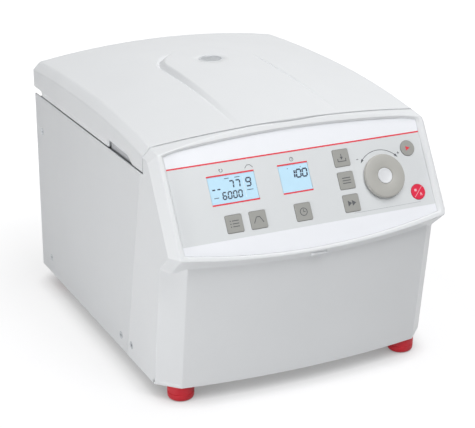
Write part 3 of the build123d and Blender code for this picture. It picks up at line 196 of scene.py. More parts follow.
METAL = {"Metallic": 1.0}
FINISHES = {
    # Injection-moulded ABS: even, pale and satin. Its spark-eroded grain is about 0.3 mm across; it is
    # drawn at 1.2 mm, or it would not show.
    "satin_moulded_abs": ("housing", (60, 35, 1.2), (0.975, 1.01), (0.38, 0.46), 0.012, {"IOR": 1.53}),
    # Walls of the pockets behind the lid's finger scoops: a grey darker than the lid, painted shade that stands
    # for the shade inside the recesses, so that they read as openings.
    "grey_grip_moulding": even("#BFC1C4", 0.5, 1.2, 0.01),
    # Powder coat on sheet: a little duller than the mouldings, with orange peel 1 to 2 mm across.
    "powder_coated_steel": ("sheet", (80, 20, 1.8), (0.97, 1.01), (0.46, 0.56), 0.02, {"IOR": 1.5}),
    # Moulded nylon of the mains fittings and the lock: black, with a dull sheen.
    "black_moulded_nylon": even("#26272A", 0.48, 1.2, 0.015, 0.1),
    # Spun and brushed stainless bowl: fine lines that smear the highlights round it.
    "brushed_stainless_steel": (
        "#C9CBCC", (3, 3, 3), (0.94, 1.03), (0.29, 0.35), 0.004, METAL, 3.0, (0.25, 0.25, 6.0)
    ),
    # Stainless sheet of the lid's liner: straight brushing along its width, low in contrast.
    "straight_brushed_steel": (
        "#C4C6C8", (2, 2, 2), (0.97, 1.02), (0.34, 0.39), 0.002, {"Metallic": 0.9}, 3.0, (0.04, 3.0, 3.0)
    ),
    # Zinc plate on mild steel: bright, pale metal with faint clouds of passivation.
    "zinc_plated_steel": even("#BFC3C7", 0.34, 1.5, 0.006, 0.08, METAL),
    # Anodised aluminium of the rotor and the carriers: pale, satin and finely turned.
    "clear_anodised_aluminium": even("#C3C6CA", 0.36, 1.0, 0.004, 0.05, METAL),
    # Enamel on the motor's cast casing: dark, with the casting's coarse sand texture under it.
    "enamelled_casting": even("#3A3D41", 0.5, 1.6, 0.06, 0.15),
    # Moulded EPDM of the seal and the dampers: matt black with a powdery bloom.
    "black_epdm_rubber": even("#1D1D1E", 0.72, 1.0, 0.02, 0.15),
    # Moulded rubber of the feet: dull red, slightly mottled.
    "red_moulded_rubber": even("feet", 0.5, 1.0, 0.02, 0.1),
    # Cut microscope slides: clear, with a faint green cast.
    "soda_lime_glass": even("#E6F3F0", 0.04, 2.0, 0.001, 0.04, {"IOR": 1.52, "Transmission Weight": 0.9}),
    # Moulded sample funnels: milky and waxy.
    "natural_polypropylene": even(
        "#EDEDE8", 0.38, 1.2, 0.01, 0.04, {"IOR": 1.49, "Subsurface Weight": 0.15}
    ),
    # Glass-epoxy boards under solder mask: glossy green over the weave.
    "green_solder_mask": even("#1F6B3C", 0.35, 0.8, 0.01, 0.2),
    # Moulded keys: warm grey, matt, with a fine grain.
    "grey_key_moulding": even("key", 0.55, 1.2, 0.012, 0.03),
    # Moulded knob: the same warm grey, a little paler.
    "pale_knob_moulding": even("knob", 0.5, 1.2, 0.012, 0.03),
    # Moulded cap in the middle of the knob, and the release plug: pale and smoother.
    "pale_hub_moulding": even("#E4E6E9", 0.38, 1.0, 0.008, 0.03),
    # Moulded stop key: crimson.
    "crimson_key_moulding": even("stop", 0.45, 1.2, 0.01, 0.05),
    # Plated ring of the sight glass: pale and satin rather than mirror-like.
    "satin_nickel_plate": even("#D6D9DC", 0.42, 0.8, 0.004, 0.06, {"Metallic": 0.1}),
    # Acrylic plug in the lid: frosted pale grey by the chamber behind it.
    "smoked_acrylic": even("#E6E8EA", 0.3, 2.0, 0.004, 0.04, {"IOR": 1.49, "Transmission Weight": 0.04}),
    # Moulded bars of the window's guard: a darker grey that shows through the plug.
    "grey_window_guard": even("#BBBEC1", 0.45, 1.0, 0.004, 0.06),
    # Backlit display window: pale blue, lit evenly from behind its glossy cover.
    "backlit_display_glass": (
        "display", (14, 9, 4), (0.97, 1.02), (0.1, 0.15), 0.002, {"IOR": 1.5, "Emission Strength": 0.12}
    ),
    # Screen-printed and pad-printed inks: flat colour with a slightly uneven gloss. The film of ink has
    # a texture far finer than a millimetre; it is drawn at 1.5 mm so that it shows.
    "red_screen_ink": even("label_red", 0.45, 1.5, 0.004, 0.05),
    "dark_screen_ink": even("ink", 0.45, 1.5, 0.004, 0.05),
    "pale_grey_screen_ink": even("#B4B7BB", 0.45, 1.5, 0.004, 0.05),
    "grey_pad_print": even("#55575B", 0.45, 1.5, 0.004, 0.05),
    "pale_pad_print": even("#F6B9C4", 0.45, 1.5, 0.004, 0.05),
    # Liquid crystal behind the display glass: dark segments, and the pale gap between two fields.
    "liquid_crystal_segment": even("digit", 0.45, 1.5, 0.004, 0.05),
    "display_field_gap": even("#E8F6FD", 0.45, 1.5, 0.004, 0.05),
}


def finish(name):
    """Each finish is made once, for the first piece that asks for it, and then shared."""
    return bpy.data.materials.get(name) or new_finish(name, *FINISHES[name])


# ---------------------------------------------------------------- label
PANEL_SLOPE = radians(59.5)
LABEL_CORNER_Y = -130.05
LABEL_CORNER_Z = 232.2
LABEL_HALF = 127.0
LABEL_FOOT = 89.5
LABEL_TOP_BOW = 7.0
LABEL_FOOT_BOW = 12.2
LABEL_GAP = 0.15
RED_LINE_DOWN = 13.2
BAND_FOOT = 82.3


def panel_point(x, s, d):
    """Point of the control panel: across, down the slope and out of it, all in millimetres."""
    y = LABEL_CORNER_Y - cos(PANEL_SLOPE) * s - sin(PANEL_SLOPE) * d
    z = LABEL_CORNER_Z - sin(PANEL_SLOPE) * s + cos(PANEL_SLOPE) * d
    return Vector((x * MM, y * MM, z * MM))


PANEL_OUT = panel_point(0, 0, 1) - panel_point(0, 0, 0)
PANEL_DOWN = panel_point(0, 1, 0) - panel_point(0, 0, 0)


def printed_label():
    """Polyester label, screen-printed from behind: white, with a grey band between two edges.

    The film's own texture is finer than 0.2 mm; it is drawn at 1 mm so that it shows.
    """
    material = new_finish(
        "printed_polyester_film", "label_white",
        (18, 25, 1), (0.985, 1.0), (0.28, 0.36), 0.003, {"IOR": 1.57},
    )
    tree = material.node_tree
    shader = tree.nodes["Principled BSDF"]
    white = shader.inputs["Base Color"].links[0].from_socket
    speckle = white.node.inputs["Factor"].links[0].from_socket
    ends = {6: shade(colours().label_grey, 0.985), 7: opaque(colours().label_grey)}
    grey = add_node(tree, "ShaderNodeMix", ends, {"Factor": speckle}, data_type="RGBA").outputs[2]
    place = add_node(tree, "ShaderNodeTexCoord").outputs["Object"]
    down = (0.0, -cos(PANEL_SLOPE), -sin(PANEL_SLOPE))
    origin = panel_point(0, 0, 0)
    start = down[1] * origin.y + down[2] * origin.z
    along, upper, lower = [
        add_node(tree, kind, values, operation=operation)
        for kind, values, operation in (
            ("ShaderNodeVectorMath", {1: down}, "DOT_PRODUCT"),
            ("ShaderNodeMath", {1: start + RED_LINE_DOWN * MM}, "GREATER_THAN"),
            ("ShaderNodeMath", {1: start + BAND_FOOT * MM}, "LESS_THAN"),
        )
    ]
    tree.links.new(place, along.inputs[0])
    tree.links.new(along.outputs["Value"], upper.inputs[0])
    tree.links.new(along.outputs["Value"], lower.inputs[0])
    edges = {0: upper.outputs["Value"], 1: lower.outputs["Value"]}
    band = add_node(tree, "ShaderNodeMath", None, edges, operation="MULTIPLY").outputs["Value"]
    inks = add_node(tree, "ShaderNodeMix", None, {"Factor": band, 6: white, 7: grey}, data_type="RGBA")
    tree.links.new(inks.outputs[2], shader.inputs["Base Color"])
    return material


# ---------------------------------------------------------------- mesh helpers
def mesh_from(name, build):
    """Mesh of a bmesh's faces."""
    mesh = bpy.data.meshes.new(name)
    build.to_mesh(mesh)
    build.free()
    return mesh


def placed(name, data):
    """New object in the scene."""
    thing = bpy.data.objects.new(name, data)
    bpy.context.scene.collection.objects.link(thing)
    return thing


def piece_from(name, build, material, body, stands_for=(), smooth=35.0):
    """Turns a bmesh into a finished piece that rides on a body."""
    bmesh.ops.recalc_face_normals(build, faces=build.faces)
    return piece_with(name, mesh_from(name, build), finish(material), body, stands_for, smooth)


def piece_with(name, mesh, material, body, stands_for=(), smooth=35.0):
    """Gives a mesh its name, material and body, and hides the parts it stands for; smooth is in degrees."""
    mesh.materials.clear()
    mesh.materials.append(material)
    mesh.shade_smooth()
    mesh.set_sharp_from_angle(angle=radians(smooth))
    piece = placed(name, mesh)
    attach(piece, body)
    if stands_for:
        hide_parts(*stands_for)
    return piece


def evaluated_mesh(piece):
    """Mesh that a piece's modifiers make."""
    return bpy.data.meshes.new_from_object(piece.evaluated_get(bpy.context.evaluated_depsgraph_get()))


def bake_modifiers(piece):
    """Makes a piece's modifiers part of its mesh."""
    mesh = evaluated_mesh(piece)
    piece.modifiers.clear()
    piece.data = mesh
    return mesh


def add_band(build, upper, lower):
    """Closed band of quads between two rings of as many vertices."""
    for k in range(len(upper)):
        after = (k + 1) % len(upper)
        build.faces.new((upper[k], upper[after], lower[after], lower[k]))


def add_turned(build, origin, across, out, profile, steps=48):
    """Adds a solid of revolution; profile is (radius, height along out) pairs, from one end to the other."""
    along = out.cross(across)
    rings = []
    for radius, height in profile:
        middle = origin + out * height
        if radius < 1e-4:
            rings.append([build.verts.new(middle * MM)])
            continue
        turns = [2 * pi * k / steps for k in range(steps)]
        ring = [middle + (across * cos(t) + along * sin(t)) * radius for t in turns]
        rings.append([build.verts.new(place * MM) for place in ring])
    for near, far in zip(rings, rings[1:]):
        for k in range(steps):
            after = (k + 1) % steps
            corners = [near[k % len(near)], near[after % len(near)]]
            corners += [far[after % len(far)], far[k % len(far)]]
            corners = [v for i, v in enumerate(corners) if v not in corners[:i]]
            if len(corners) > 2:
                build.faces.new(corners)


def add_prism(build, origin, across, out, outline, low, high):
    """Adds a straight prism over a plane outline, between two heights along out."""
    along = out.cross(across)
    levels = []
    for height in (low, high):
        ring = [origin + across * u + along * v + out * height for u, v in outline]
        levels.append([build.verts.new(place * MM) for place in ring])
    add_band(build, *levels)
    build.faces.new(levels[0])
    build.faces.new(levels[1])


def slot_outline(length_over, width, steps=10):
    """Outline of a straight slot with round ends."""
    reach = (length_over - width) / 2
    turns = [pi * k / steps for k in range(steps + 1)]
    right = [(reach + width / 2 * sin(t), width / 2 * -cos(t)) for t in turns]
    return right + [(-u, -v) for u, v in right]


def body_of(node):
    """Body that a CAD node rides on."""
    return next(body for body, nodes in frame["record"]["behaviour"]["bodies"].items() if node in nodes)


def keep_flat(piece):
    """Shades a piece's large faces as flat ones, and leaves the bend to its small ones."""
    piece.modifiers.new("Flat faces stay flat", "WEIGHTED_NORMAL").keep_sharp = True


def add_wall(piece, thickness, offset=-1, even_offset=True):
    """Gives a skin its wall; thickness is in millimetres."""
    wall = piece.modifiers.new("Wall", "SOLIDIFY")
    wall.thickness = thickness * MM
    wall.offset = offset
    wall.use_even_offset = even_offset
    return wall


MERGE_REACH = 0.002
SHARP_ANGLE = 30.0


def softened(node, material, radius):
    """Copy of a sheet-metal node with its sharp edges rounded, which stands for it."""
    build = bmesh.new()
    build.from_mesh(frame["nodes"][node].data)
    # A node's mesh is loose triangles, so its doubles are merged before its edges are found.
    bmesh.ops.remove_doubles(build, verts=build.verts, dist=MERGE_REACH * MM)
    piece = piece_from(node + "_finished", build, material, body_of(node), (node,))
    bevel = piece.modifiers.new("Soft edges", "BEVEL")
    bevel.width = radius
    bevel.segments = 2
    bevel.limit_method = "ANGLE"
    bevel.angle_limit = radians(SHARP_ANGLE)
    bevel.use_clamp_overlap = False
    bevel.loop_slide = False
    keep_flat(piece)


def dress(material, *nodes):
    """Gives CAD nodes' own objects a finish."""
    for node in nodes:
        mesh = frame["nodes"][node].data
        mesh.materials.clear()
        mesh.materials.append(material if isinstance(material, bpy.types.Material) else finish(material))


# ---------------------------------------------------------------- geometry trees
def new_tree(name, inputs):
    """Geometry tree that takes seed points and named inputs; gives the tree and its input sockets."""
    tree = bpy.data.node_groups.new(name, "GeometryNodeTree")
    tree.interface.new_socket("Seeds", in_out="INPUT", socket_type="NodeSocketGeometry")
    for label, kind in inputs.items():
        tree.interface.new_socket(label, in_out="INPUT", socket_type="NodeSocket" + kind)
    tree.interface.new_socket("Geometry", in_out="OUTPUT", socket_type="NodeSocketGeometry")
    return tree, tree.nodes.new("NodeGroupInput").outputs


def end_tree(tree, entry, instances):
    """Ends a tree in real geometry that has its finish."""
    real = add_node(tree, "GeometryNodeRealizeInstances", None, {"Geometry": instances}).outputs["Geometry"]
    coat = {"Geometry": real, "Material": entry["Material"]}
    dressed = add_node(tree, "GeometryNodeSetMaterial", None, coat)
    add_node(tree, "NodeGroupOutput", None, {"Geometry": dressed.outputs["Geometry"]})
    return tree


def seed_points(name, places, field=None, values=()):
    """Mesh of loose points in millimetres, with one vector or number on each where a tree needs it."""
    mesh = bpy.data.meshes.new(name)
    mesh.from_pydata([Vector(place) * MM for place in places], [], [])
    if field:
        vector = hasattr(values[0], "__len__")
        layer = mesh.attributes.new(field, "FLOAT_VECTOR" if vector else "FLOAT", "POINT")
        for item, value in zip(layer.data, values):
            if vector:
                item.vector = value
            else:
                item.value = value
    return mesh


def grown(name, seeds, tree, values, body, stands_for=(), smooth=35.0):
    """Runs a geometry tree once on its seed points and keeps the result as a plain piece."""
    holder = bpy.data.objects.new(name + "_seeds", seeds)
    modifier = holder.modifiers.new("Grow", "NODES")
    modifier.node_group = tree
    for item in tree.interface.items_tree:
        if item.in_out == "INPUT" and item.name in values:
            modifier[item.identifier] = values[item.name]
    bpy.context.scene.collection.objects.link(holder)
    mesh = evaluated_mesh(holder)
    holder.modifiers.clear()
    bpy.data.objects.remove(holder)
    return piece_with(name, mesh, values["Material"], body, stands_for, smooth)


HEAD_HEIGHT = 1.8
RECESS_WIDTH = 0.8
RECESS_DEPTH = 1.0
SHANK_DOWN = 1.7         # where a screw's shank starts, inside its head


def screw_tree():
    """Countersunk cross-head screws, one on each seed, along the vector that the seed carries."""
    inputs = {"Head Radius": "Float", "Shank Radius": "Float", "Length": "Float", "Cross": "Float"}
    tree, entry = new_tree("countersunk_screws", {**inputs, "Material": "Material"})
    taper = {"Radius Top": entry["Head Radius"], "Radius Bottom": entry["Shank Radius"]}
    cone = add_node(tree, "GeometryNodeMeshCone", {"Vertices": 32, "Depth": HEAD_HEIGHT * MM}, taper)
    head = add_node(
        tree, "GeometryNodeTransform", {"Translation": (0, 0, -HEAD_HEIGHT * MM)},
        {"Geometry": cone.outputs["Mesh"]},
    )
    bars = []
    for run, across in (("X", "Y"), ("Y", "X")):
        section = {across: RECESS_WIDTH * MM, "Z": 2 * RECESS_DEPTH * MM}
        size = add_node(tree, "ShaderNodeCombineXYZ", section, {run: entry["Cross"]})
        bar = add_node(tree, "GeometryNodeMeshCube", None, {"Size": size.outputs["Vector"]})
        bars.append(bar.outputs["Mesh"])
    recessed = add_node(
        tree, "GeometryNodeMeshBoolean", None, {"Mesh 1": head.outputs["Geometry"], "Mesh 2": bars},
        operation="DIFFERENCE", solver="EXACT",
    )
    rod = {"Radius": entry["Shank Radius"], "Depth": entry["Length"]}
    shank = add_node(tree, "GeometryNodeMeshCylinder", {"Vertices": 20}, rod)
    half = add_node(
        tree, "ShaderNodeMath", {1: -0.5, 2: -SHANK_DOWN * MM}, {0: entry["Length"]},
        operation="MULTIPLY_ADD",
    )
    below = add_node(tree, "ShaderNodeCombineXYZ", None, {"Z": half.outputs["Value"]})
    body = add_node(
        tree, "GeometryNodeTransform", None,
        {"Geometry": shank.outputs["Mesh"], "Translation": below.outputs["Vector"]},
    )
    solids = {"Geometry": [recessed.outputs["Mesh"], body.outputs["Geometry"]]}
    whole = add_node(tree, "GeometryNodeJoinGeometry", None, solids)
    axis = add_node(tree, "GeometryNodeInputNamedAttribute", {"Name": "axis"}, data_type="FLOAT_VECTOR")
    turn = add_node(
        tree, "FunctionNodeAlignRotationToVector", None, {"Vector": axis.outputs["Attribute"]}, axis="Z"
    )
    copies = add_node(
        tree, "GeometryNodeInstanceOnPoints", None,
        {
            "Points": entry["Seeds"],
            "Instance": whole.outputs["Geometry"],
            "Rotation": turn.outputs["Rotation"],
        },
    )
    return end_tree(tree, entry, copies.outputs["Instances"])


def coil_tree():
    """Coiled springs that start at each seed and run across the machine."""
    inputs = {"Coil Radius": "Float", "Wire Radius": "Float", "Turns": "Float", "Length": "Float"}
    tree, entry = new_tree("coiled_springs", {**inputs, "Material": "Material"})
    line = add_node(
        tree, "GeometryNodeCurveSpiral", {"Resolution": 20},
        {
            "Rotations": entry["Turns"],
            "Start Radius": entry["Coil Radius"],
            "End Radius": entry["Coil Radius"],
            "Height": entry["Length"],
        },
    )
    wire = add_node(
        tree, "GeometryNodeCurvePrimitiveCircle", {"Resolution": 8}, {"Radius": entry["Wire Radius"]},
        mode="RADIUS",
    )
    swept = add_node(
        tree, "GeometryNodeCurveToMesh", {"Fill Caps": True},
        {"Curve": line.outputs["Curve"], "Profile Curve": wire.outputs["Curve"]},
    )
    lying = add_node(
        tree, "GeometryNodeTransform", {"Rotation": (0, pi / 2, 0)}, {"Geometry": swept.outputs["Mesh"]}
    )
    copies = add_node(
        tree, "GeometryNodeInstanceOnPoints", None,
        {"Points": entry["Seeds"], "Instance": lying.outputs["Geometry"]},
    )
    return end_tree(tree, entry, copies.outputs["Instances"])


def bars_tree():
    """Straight bars, one on each seed, each as long as the number that the seed carries."""
    tree, entry = new_tree("window_bars", {"Width": "Float", "Height": "Float", "Material": "Material"})
    section = add_node(tree, "ShaderNodeCombineXYZ", {"X": 1.0}, {"Y": entry["Width"], "Z": entry["Height"]})
    bar = add_node(tree, "GeometryNodeMeshCube", None, {"Size": section.outputs["Vector"]})
    span = add_node(tree, "GeometryNodeInputNamedAttribute", {"Name": "span"}, data_type="FLOAT")
    stretch = add_node(tree, "ShaderNodeCombineXYZ", {"Y": 1.0, "Z": 1.0}, {"X": span.outputs["Attribute"]})
    copies = add_node(
        tree, "GeometryNodeInstanceOnPoints", None,
        {"Points": entry["Seeds"], "Instance": bar.outputs["Mesh"], "Scale": stretch.outputs["Vector"]},
    )
    return end_tree(tree, entry, copies.outputs["Instances"])


# ---------------------------------------------------------------- outlines
def rounded_line(points, radii, steps=5):
    """Open 2-D line with its inner corners rounded; radii gives one radius for each inner corner."""
    line = [Vector(points[0])]
    for i in range(1, len(points) - 1):
        corner = Vector(points[i])
        back = (Vector(points[i - 1]) - corner).normalized()
        ahead = (Vector(points[i + 1]) - corner).normalized()
        radius = radii[i - 1]
        half_turn = (pi - back.angle(ahead)) / 2
        if radius <= 0 or half_turn < 1e-4:
            line.append(corner)
            continue
        reach = radius * tan(half_turn)
        middle = corner + (back + ahead).normalized() * (radius / cos(half_turn))
        first = corner + back * reach - middle
        last = corner + ahead * reach - middle
        for k in range(steps + 1):
            line.append(middle + first.slerp(last, k / steps) * radius)
    line.append(Vector(points[-1]))
    return line


def arc_bow(x, half, bow):
    """How far an arc of one half chord and bow stands out at one distance from the middle."""
    radius = (half * half + bow * bow) / (2 * bow)
    return sqrt(max(0.0, radius * radius - x * x)) - (radius - bow)


def share_of(value, start, span):
    """How far a value has come along a span, held between 0 and 1."""
    return min(1.0, max(0.0, (value - start) / span))


def smooth_step(t):
    """0 to 1 with soft ends."""
    t = min(1.0, max(0.0, t))
    return t * t * (3 - 2 * t)


def spaced(start, end, step):
    """Even numbers from start to end, about one step apart, without the end."""
    count = max(1, round(abs(end - start) / step))
    return [start + (end - start) * i / count for i in range(count)]


def quarter_round(distance, radius):
    """Drop of a rounded edge at one distance from where it ends."""
    return radius - sqrt(radius**2 - (radius - distance) ** 2) if distance < radius else 0.0


# ---------------------------------------------------------------- dome, in millimetres
HALF_WIDTH = 140.0
REAR_Y = 187.0
SEAM_Y = -114.0
SEAM_BOW = 10.4
SEAM_GAP = 0.8
LID_SEAM_GAP = 1.8       # wider than the gap between lid and moulding is deep, so that it reads as a line
SEAM_DROP = 1.2          # the moulding lies this far below the lid at the seam
SHOULDER_PEAK = 246.3
SHOULDER_PEAK_Y = 25.0
REAR_DROP = 5.9
REAR_REACH = 157.0
FRONT_DROP = 20.7
FRONT_REACH = 212.0
CROWN = 11.5
SHOULDER_WIDTH = 7.1
SHOULDER_DROP = 8.5
SHOULDER_X = HALF_WIDTH - SHOULDER_WIDTH
LID_INSET = 0.3
TOP_INSET = 0.8
RIM_HEIGHT = 2.6
PANEL_REAR_Z = 207.0
PANEL_FRONT_Z = 211.8
BACK_Y = 182.0
PANEL_SPAN = 290.0
PLAIN_HALF = 104.0       # outlines are plain arcs this far from the middle, and get finer columns past it


def shoulder_height(y):
    """Height of the shoulder line at one distance along the body."""
    reach = y - SHOULDER_PEAK_Y
    if reach > 0:
        return SHOULDER_PEAK - REAR_DROP * (reach / REAR_REACH) ** 2
    return SHOULDER_PEAK - FRONT_DROP * (reach / FRONT_REACH) ** 2


def seam_front(x):
    """Lid's front edge: an arc that bows forward in the middle."""
    radius = (HALF_WIDTH**2 + SEAM_BOW**2) / (2 * SEAM_BOW)
    middle = SEAM_Y - SEAM_BOW + radius
    return middle - sqrt((radius - LID_SEAM_GAP / 2) ** 2 - x * x)


def rim_height(y):
    """Height of the control panel's rim at one distance along the body."""
    down = (LABEL_CORNER_Y - sin(PANEL_SLOPE) * RIM_HEIGHT - y) / cos(PANEL_SLOPE)
    return LABEL_CORNER_Z + cos(PANEL_SLOPE) * RIM_HEIGHT - sin(PANEL_SLOPE) * down


def panel_edge(y):
    """Top edge of the side panels."""
    return PANEL_REAR_Z + (PANEL_FRONT_Z - PANEL_REAR_Z) * (BACK_Y - y) / PANEL_SPAN


# ---------------------------------------------------------------- lid
LID_HALF = HALF_WIDTH - LID_INSET
LID_SHOULDER_X = LID_HALF - SHOULDER_WIDTH
LID_WALL = 3.0
LID_GAP = 1.6
SKIRT_REAR_Z = 213.5
SKIRT_STEP_Y = 158.0
SKIRT_RAMP = 4.0
SCOOP_REAR_Y = -30.0
SCOOP_LENGTH = 60.0
SCOOP_HEIGHT = 7.0
SCOOP_FALL = 1.5
SCOOP_TAPER = 0.2        # share of the scoop's length in which its front end closes
SCOOP_DEPTH = 3.4
SCOOP_FOOT = 203.8
SCOOP_WALL = 1.2
SEAM_ROUND = 0.5
SEAM_FADE = 54.0         # rows behind the seam straighten out over this length
RIM_CLEARANCE = 2.5      # the lid's front stays this far below the control panel's rim
RIM_CLEAR_Y = -110.0
TONGUE_GROOVE = 2.0
GROOVE_START = -3.6      # the groove lies outside the raised panel and runs under its wall
GROOVE_WIDTH = 4.4
REAR_CORNER = 2.6
REAR_EDGE = 2.2
LEAN_START = 231.3
REAR_LEAN = 8.0 / 30.0
SIGHT_HOLE = 12.35
SIGHT_FRAME = 18.0
SIGHT_STEPS = 48


def lid_section():
    """Half of the lid's cross-section outside the tongue: (x, height above the shoulder line)."""
    corners = [
        (PLAIN_HALF, arc_bow(PLAIN_HALF, LID_SHOULDER_X, CROWN)),
        (LID_SHOULDER_X, 0.0),
        (LID_HALF, -SHOULDER_DROP),
        (LID_HALF, -14.0),
    ]
    radius = sizes().shoulder_radius / MM
    rounded = rounded_line(corners, [1.6 * radius, radius], 6)[1:-1]
    wall = sizes().tongue_half / MM
    columns = spaced(0.0, wall - 6, 2.0) + spaced(wall - 6, wall + 5, 0.75) + spaced(wall + 5, 62.0, 3.0)
    columns += spaced(62.0, PLAIN_HALF, 7.0) + [PLAIN_HALF]
    return [Vector((x, arc_bow(x, LID_SHOULDER_X, CROWN))) for x in columns] + rounded


def section_height(section, x):
    """Height of the cross-section at one distance from the middle."""
    for low, high in zip(section, section[1:]):
        if high.x > low.x and x <= high.x:
            return low.y + (high.y - low.y) * (x - low.x) / (high.x - low.x)
    return section[-1].y


def tongue_height(x, y):
    """Rise of the lid's raised panel, which fades out towards the seam."""
    inside = sizes().tongue_half / MM - (abs(x) if y < AXIS_Y else hypot(x, y - AXIS_Y))
    fade = share_of(y, SEAM_Y - SEAM_BOW, AXIS_Y - SEAM_Y)
    dip = TONGUE_GROOVE * sin(pi * share_of(inside, GROOVE_START, GROOVE_WIDTH)) ** 2
    return fade * (sizes().tongue_rise / MM * smooth_step(inside / (sizes().tongue_wall / MM)) - dip)


def skirt_foot(y):
    """Lower edge of the lid's skirt: cut back at the rear, and raised over the finger scoop."""
    low = panel_edge(y) + LID_GAP
    if y >= SKIRT_STEP_Y:
        return low + (SKIRT_REAR_Z - low) * min(1.0, (y - SKIRT_STEP_Y) / SKIRT_RAMP)
    ahead = (SCOOP_REAR_Y - y) / SCOOP_LENGTH
    if 0 < ahead < 1 - SCOOP_TAPER:
        return low + SCOOP_HEIGHT - SCOOP_FALL * ahead
    if 0 < ahead < 1:
        return low + (SCOOP_HEIGHT - SCOOP_FALL * (1 - SCOOP_TAPER)) * (1 - ahead) / SCOOP_TAPER
    return low


def lid_rows():
    """Distances along the lid for its grid rows, from the seam to the rear wall."""
    rows = [SEAM_Y, SEAM_Y + 0.1, SEAM_Y + 0.25, SEAM_Y + SEAM_ROUND, SEAM_Y + 1.5]
    rear = REAR_Y - 8
    for start, end, step in (
        (SEAM_Y + 3, -90.0, 5.0),
        (-90.0, SCOOP_REAR_Y - 0.7, 2.5),
        (SCOOP_REAR_Y - 0.7, SCOOP_REAR_Y, 1.0),
        (SCOOP_REAR_Y, SCOOP_REAR_Y + 5, 5.0),
        (SCOOP_REAR_Y + 5, 30.0, 6.0),
        (30.0, 104.0, 1.3),
        (104.0, SKIRT_STEP_Y, 8.0),
        (SKIRT_STEP_Y, SKIRT_STEP_Y + SKIRT_RAMP, 1.0),
        (SKIRT_STEP_Y + SKIRT_RAMP, rear, 5.0),
        (rear, REAR_Y - REAR_EDGE, 1.5),
    ):
        rows += spaced(start, end, step)
    return rows + [REAR_Y - k for k in (REAR_EDGE, 1.5, 0.8, 0.3, 0.0)]


def lid_top_point(x, y, section):
    """Point of the lid's outer surface above one place of the plan."""
    side = 1 if x >= 0 else -1
    across, along = abs(x), y
    in_x = across - (LID_HALF - REAR_CORNER)
    in_y = along - (REAR_Y - REAR_CORNER)
    if in_x > 0 and in_y > 0:
        reach = max(in_x, in_y) / hypot(in_x, in_y)
        across = LID_HALF - REAR_CORNER + in_x * reach
        along = REAR_Y - REAR_CORNER + in_y * reach
    if y < SEAM_Y + SEAM_FADE:
        along += (seam_front(across) - SEAM_Y) * (1 - smooth_step((y - SEAM_Y) / SEAM_FADE))
    z = shoulder_height(along) - TOP_INSET + section_height(section, across) + tongue_height(across, along)
    if along < RIM_CLEAR_Y:
        z = min(z, rim_height(along) - RIM_CLEARANCE)
    z -= quarter_round(REAR_Y - y, REAR_EDGE)
    z -= quarter_round(y - SEAM_Y, SEAM_ROUND)
    return Vector((side * across, along, z))


def leaned(point):
    """The rear wall leans forward towards its top."""
    near_rear = smooth_step((point.y - 150.0) / 30.0)
    return Vector((point.x, point.y - max(0.0, point.z - LEAN_START) * REAR_LEAN * near_rear, point.z))


def lid_skin():
    """Open outer skin of the lid: domed top with its walls, and the hole for the sight glass."""
    section = lid_section()
    columns = [-point.x for point in reversed(section[1:])] + [point.x for point in section]
    rows = lid_rows()
    build = bmesh.new()
    grid = []
    for y in rows:
        line = [lid_top_point(x, y, section) for x in columns]
        grid.append([build.verts.new(leaned(point) * MM) for point in line])
    for j in range(len(rows) - 1):
        for i in range(len(columns) - 1):
            middle_x = (columns[i] + columns[i + 1]) / 2
            middle_y = (rows[j] + rows[j + 1]) / 2
            if abs(middle_x) < SIGHT_FRAME and abs(middle_y - AXIS_Y) < SIGHT_FRAME:
                continue
            build.faces.new((grid[j][i], grid[j][i + 1], grid[j + 1][i + 1], grid[j + 1][i]))
    rim = [grid[j][-1] for j in range(len(rows))] + list(reversed(grid[-1][:-1]))
    rim += [grid[j][0] for j in reversed(range(len(rows) - 1))] + grid[0][1:-1]
    drop_walls(build, rim)
    cut_sight_hole(build, section)
    return build


def drop_walls(build, rim):
    """Walls from the rim of the top down to the lower edge of the skirt."""
    upper = rim
    for share in (0.25, 0.5, 0.75, 1.0):
        lower = []
        for vert in rim:
            top = Vector(vert.co) / MM
            z = top.z + (skirt_foot(top.y) - top.z) * share
            back = top.y
            if back > 170.0:
                back = min(REAR_Y, top.y + max(0.0, top.z - LEAN_START) * REAR_LEAN)
                back -= max(0.0, z - LEAN_START) * REAR_LEAN
            lower.append(build.verts.new(Vector((top.x, back, z)) * MM))
        add_band(build, upper, lower)
        upper = lower


def cut_sight_hole(build, section):
    """Joins the square gap in the grid to a round hole."""
    inner = []
    for k in range(SIGHT_STEPS):
        x = SIGHT_HOLE * cos(2 * pi * k / SIGHT_STEPS)
        y = AXIS_Y + SIGHT_HOLE * sin(2 * pi * k / SIGHT_STEPS)
        inner.append(build.verts.new(lid_top_point(x, y, section) * MM))
    ring = [build.edges.new((inner[k], inner[(k + 1) % SIGHT_STEPS])) for k in range(SIGHT_STEPS)]
    hole = Vector((0, AXIS_Y)) * MM
    reach = 2 * SIGHT_FRAME * MM
    gap = [
        edge
        for edge in build.edges
        if edge.is_boundary and all((Vector(v.co[:2]) - hole).length < reach for v in edge.verts)
    ]
    bmesh.ops.bridge_loops(build, edges=gap + ring)


def lid_shell_piece():
    """Domed lid moulding with even walls."""
    piece = piece_from(
        "lid_shell_moulding", lid_skin(), "satin_moulded_abs", "lid", ("lid_shell",), 40
    )
    add_wall(piece, LID_WALL)
    keep_flat(piece)


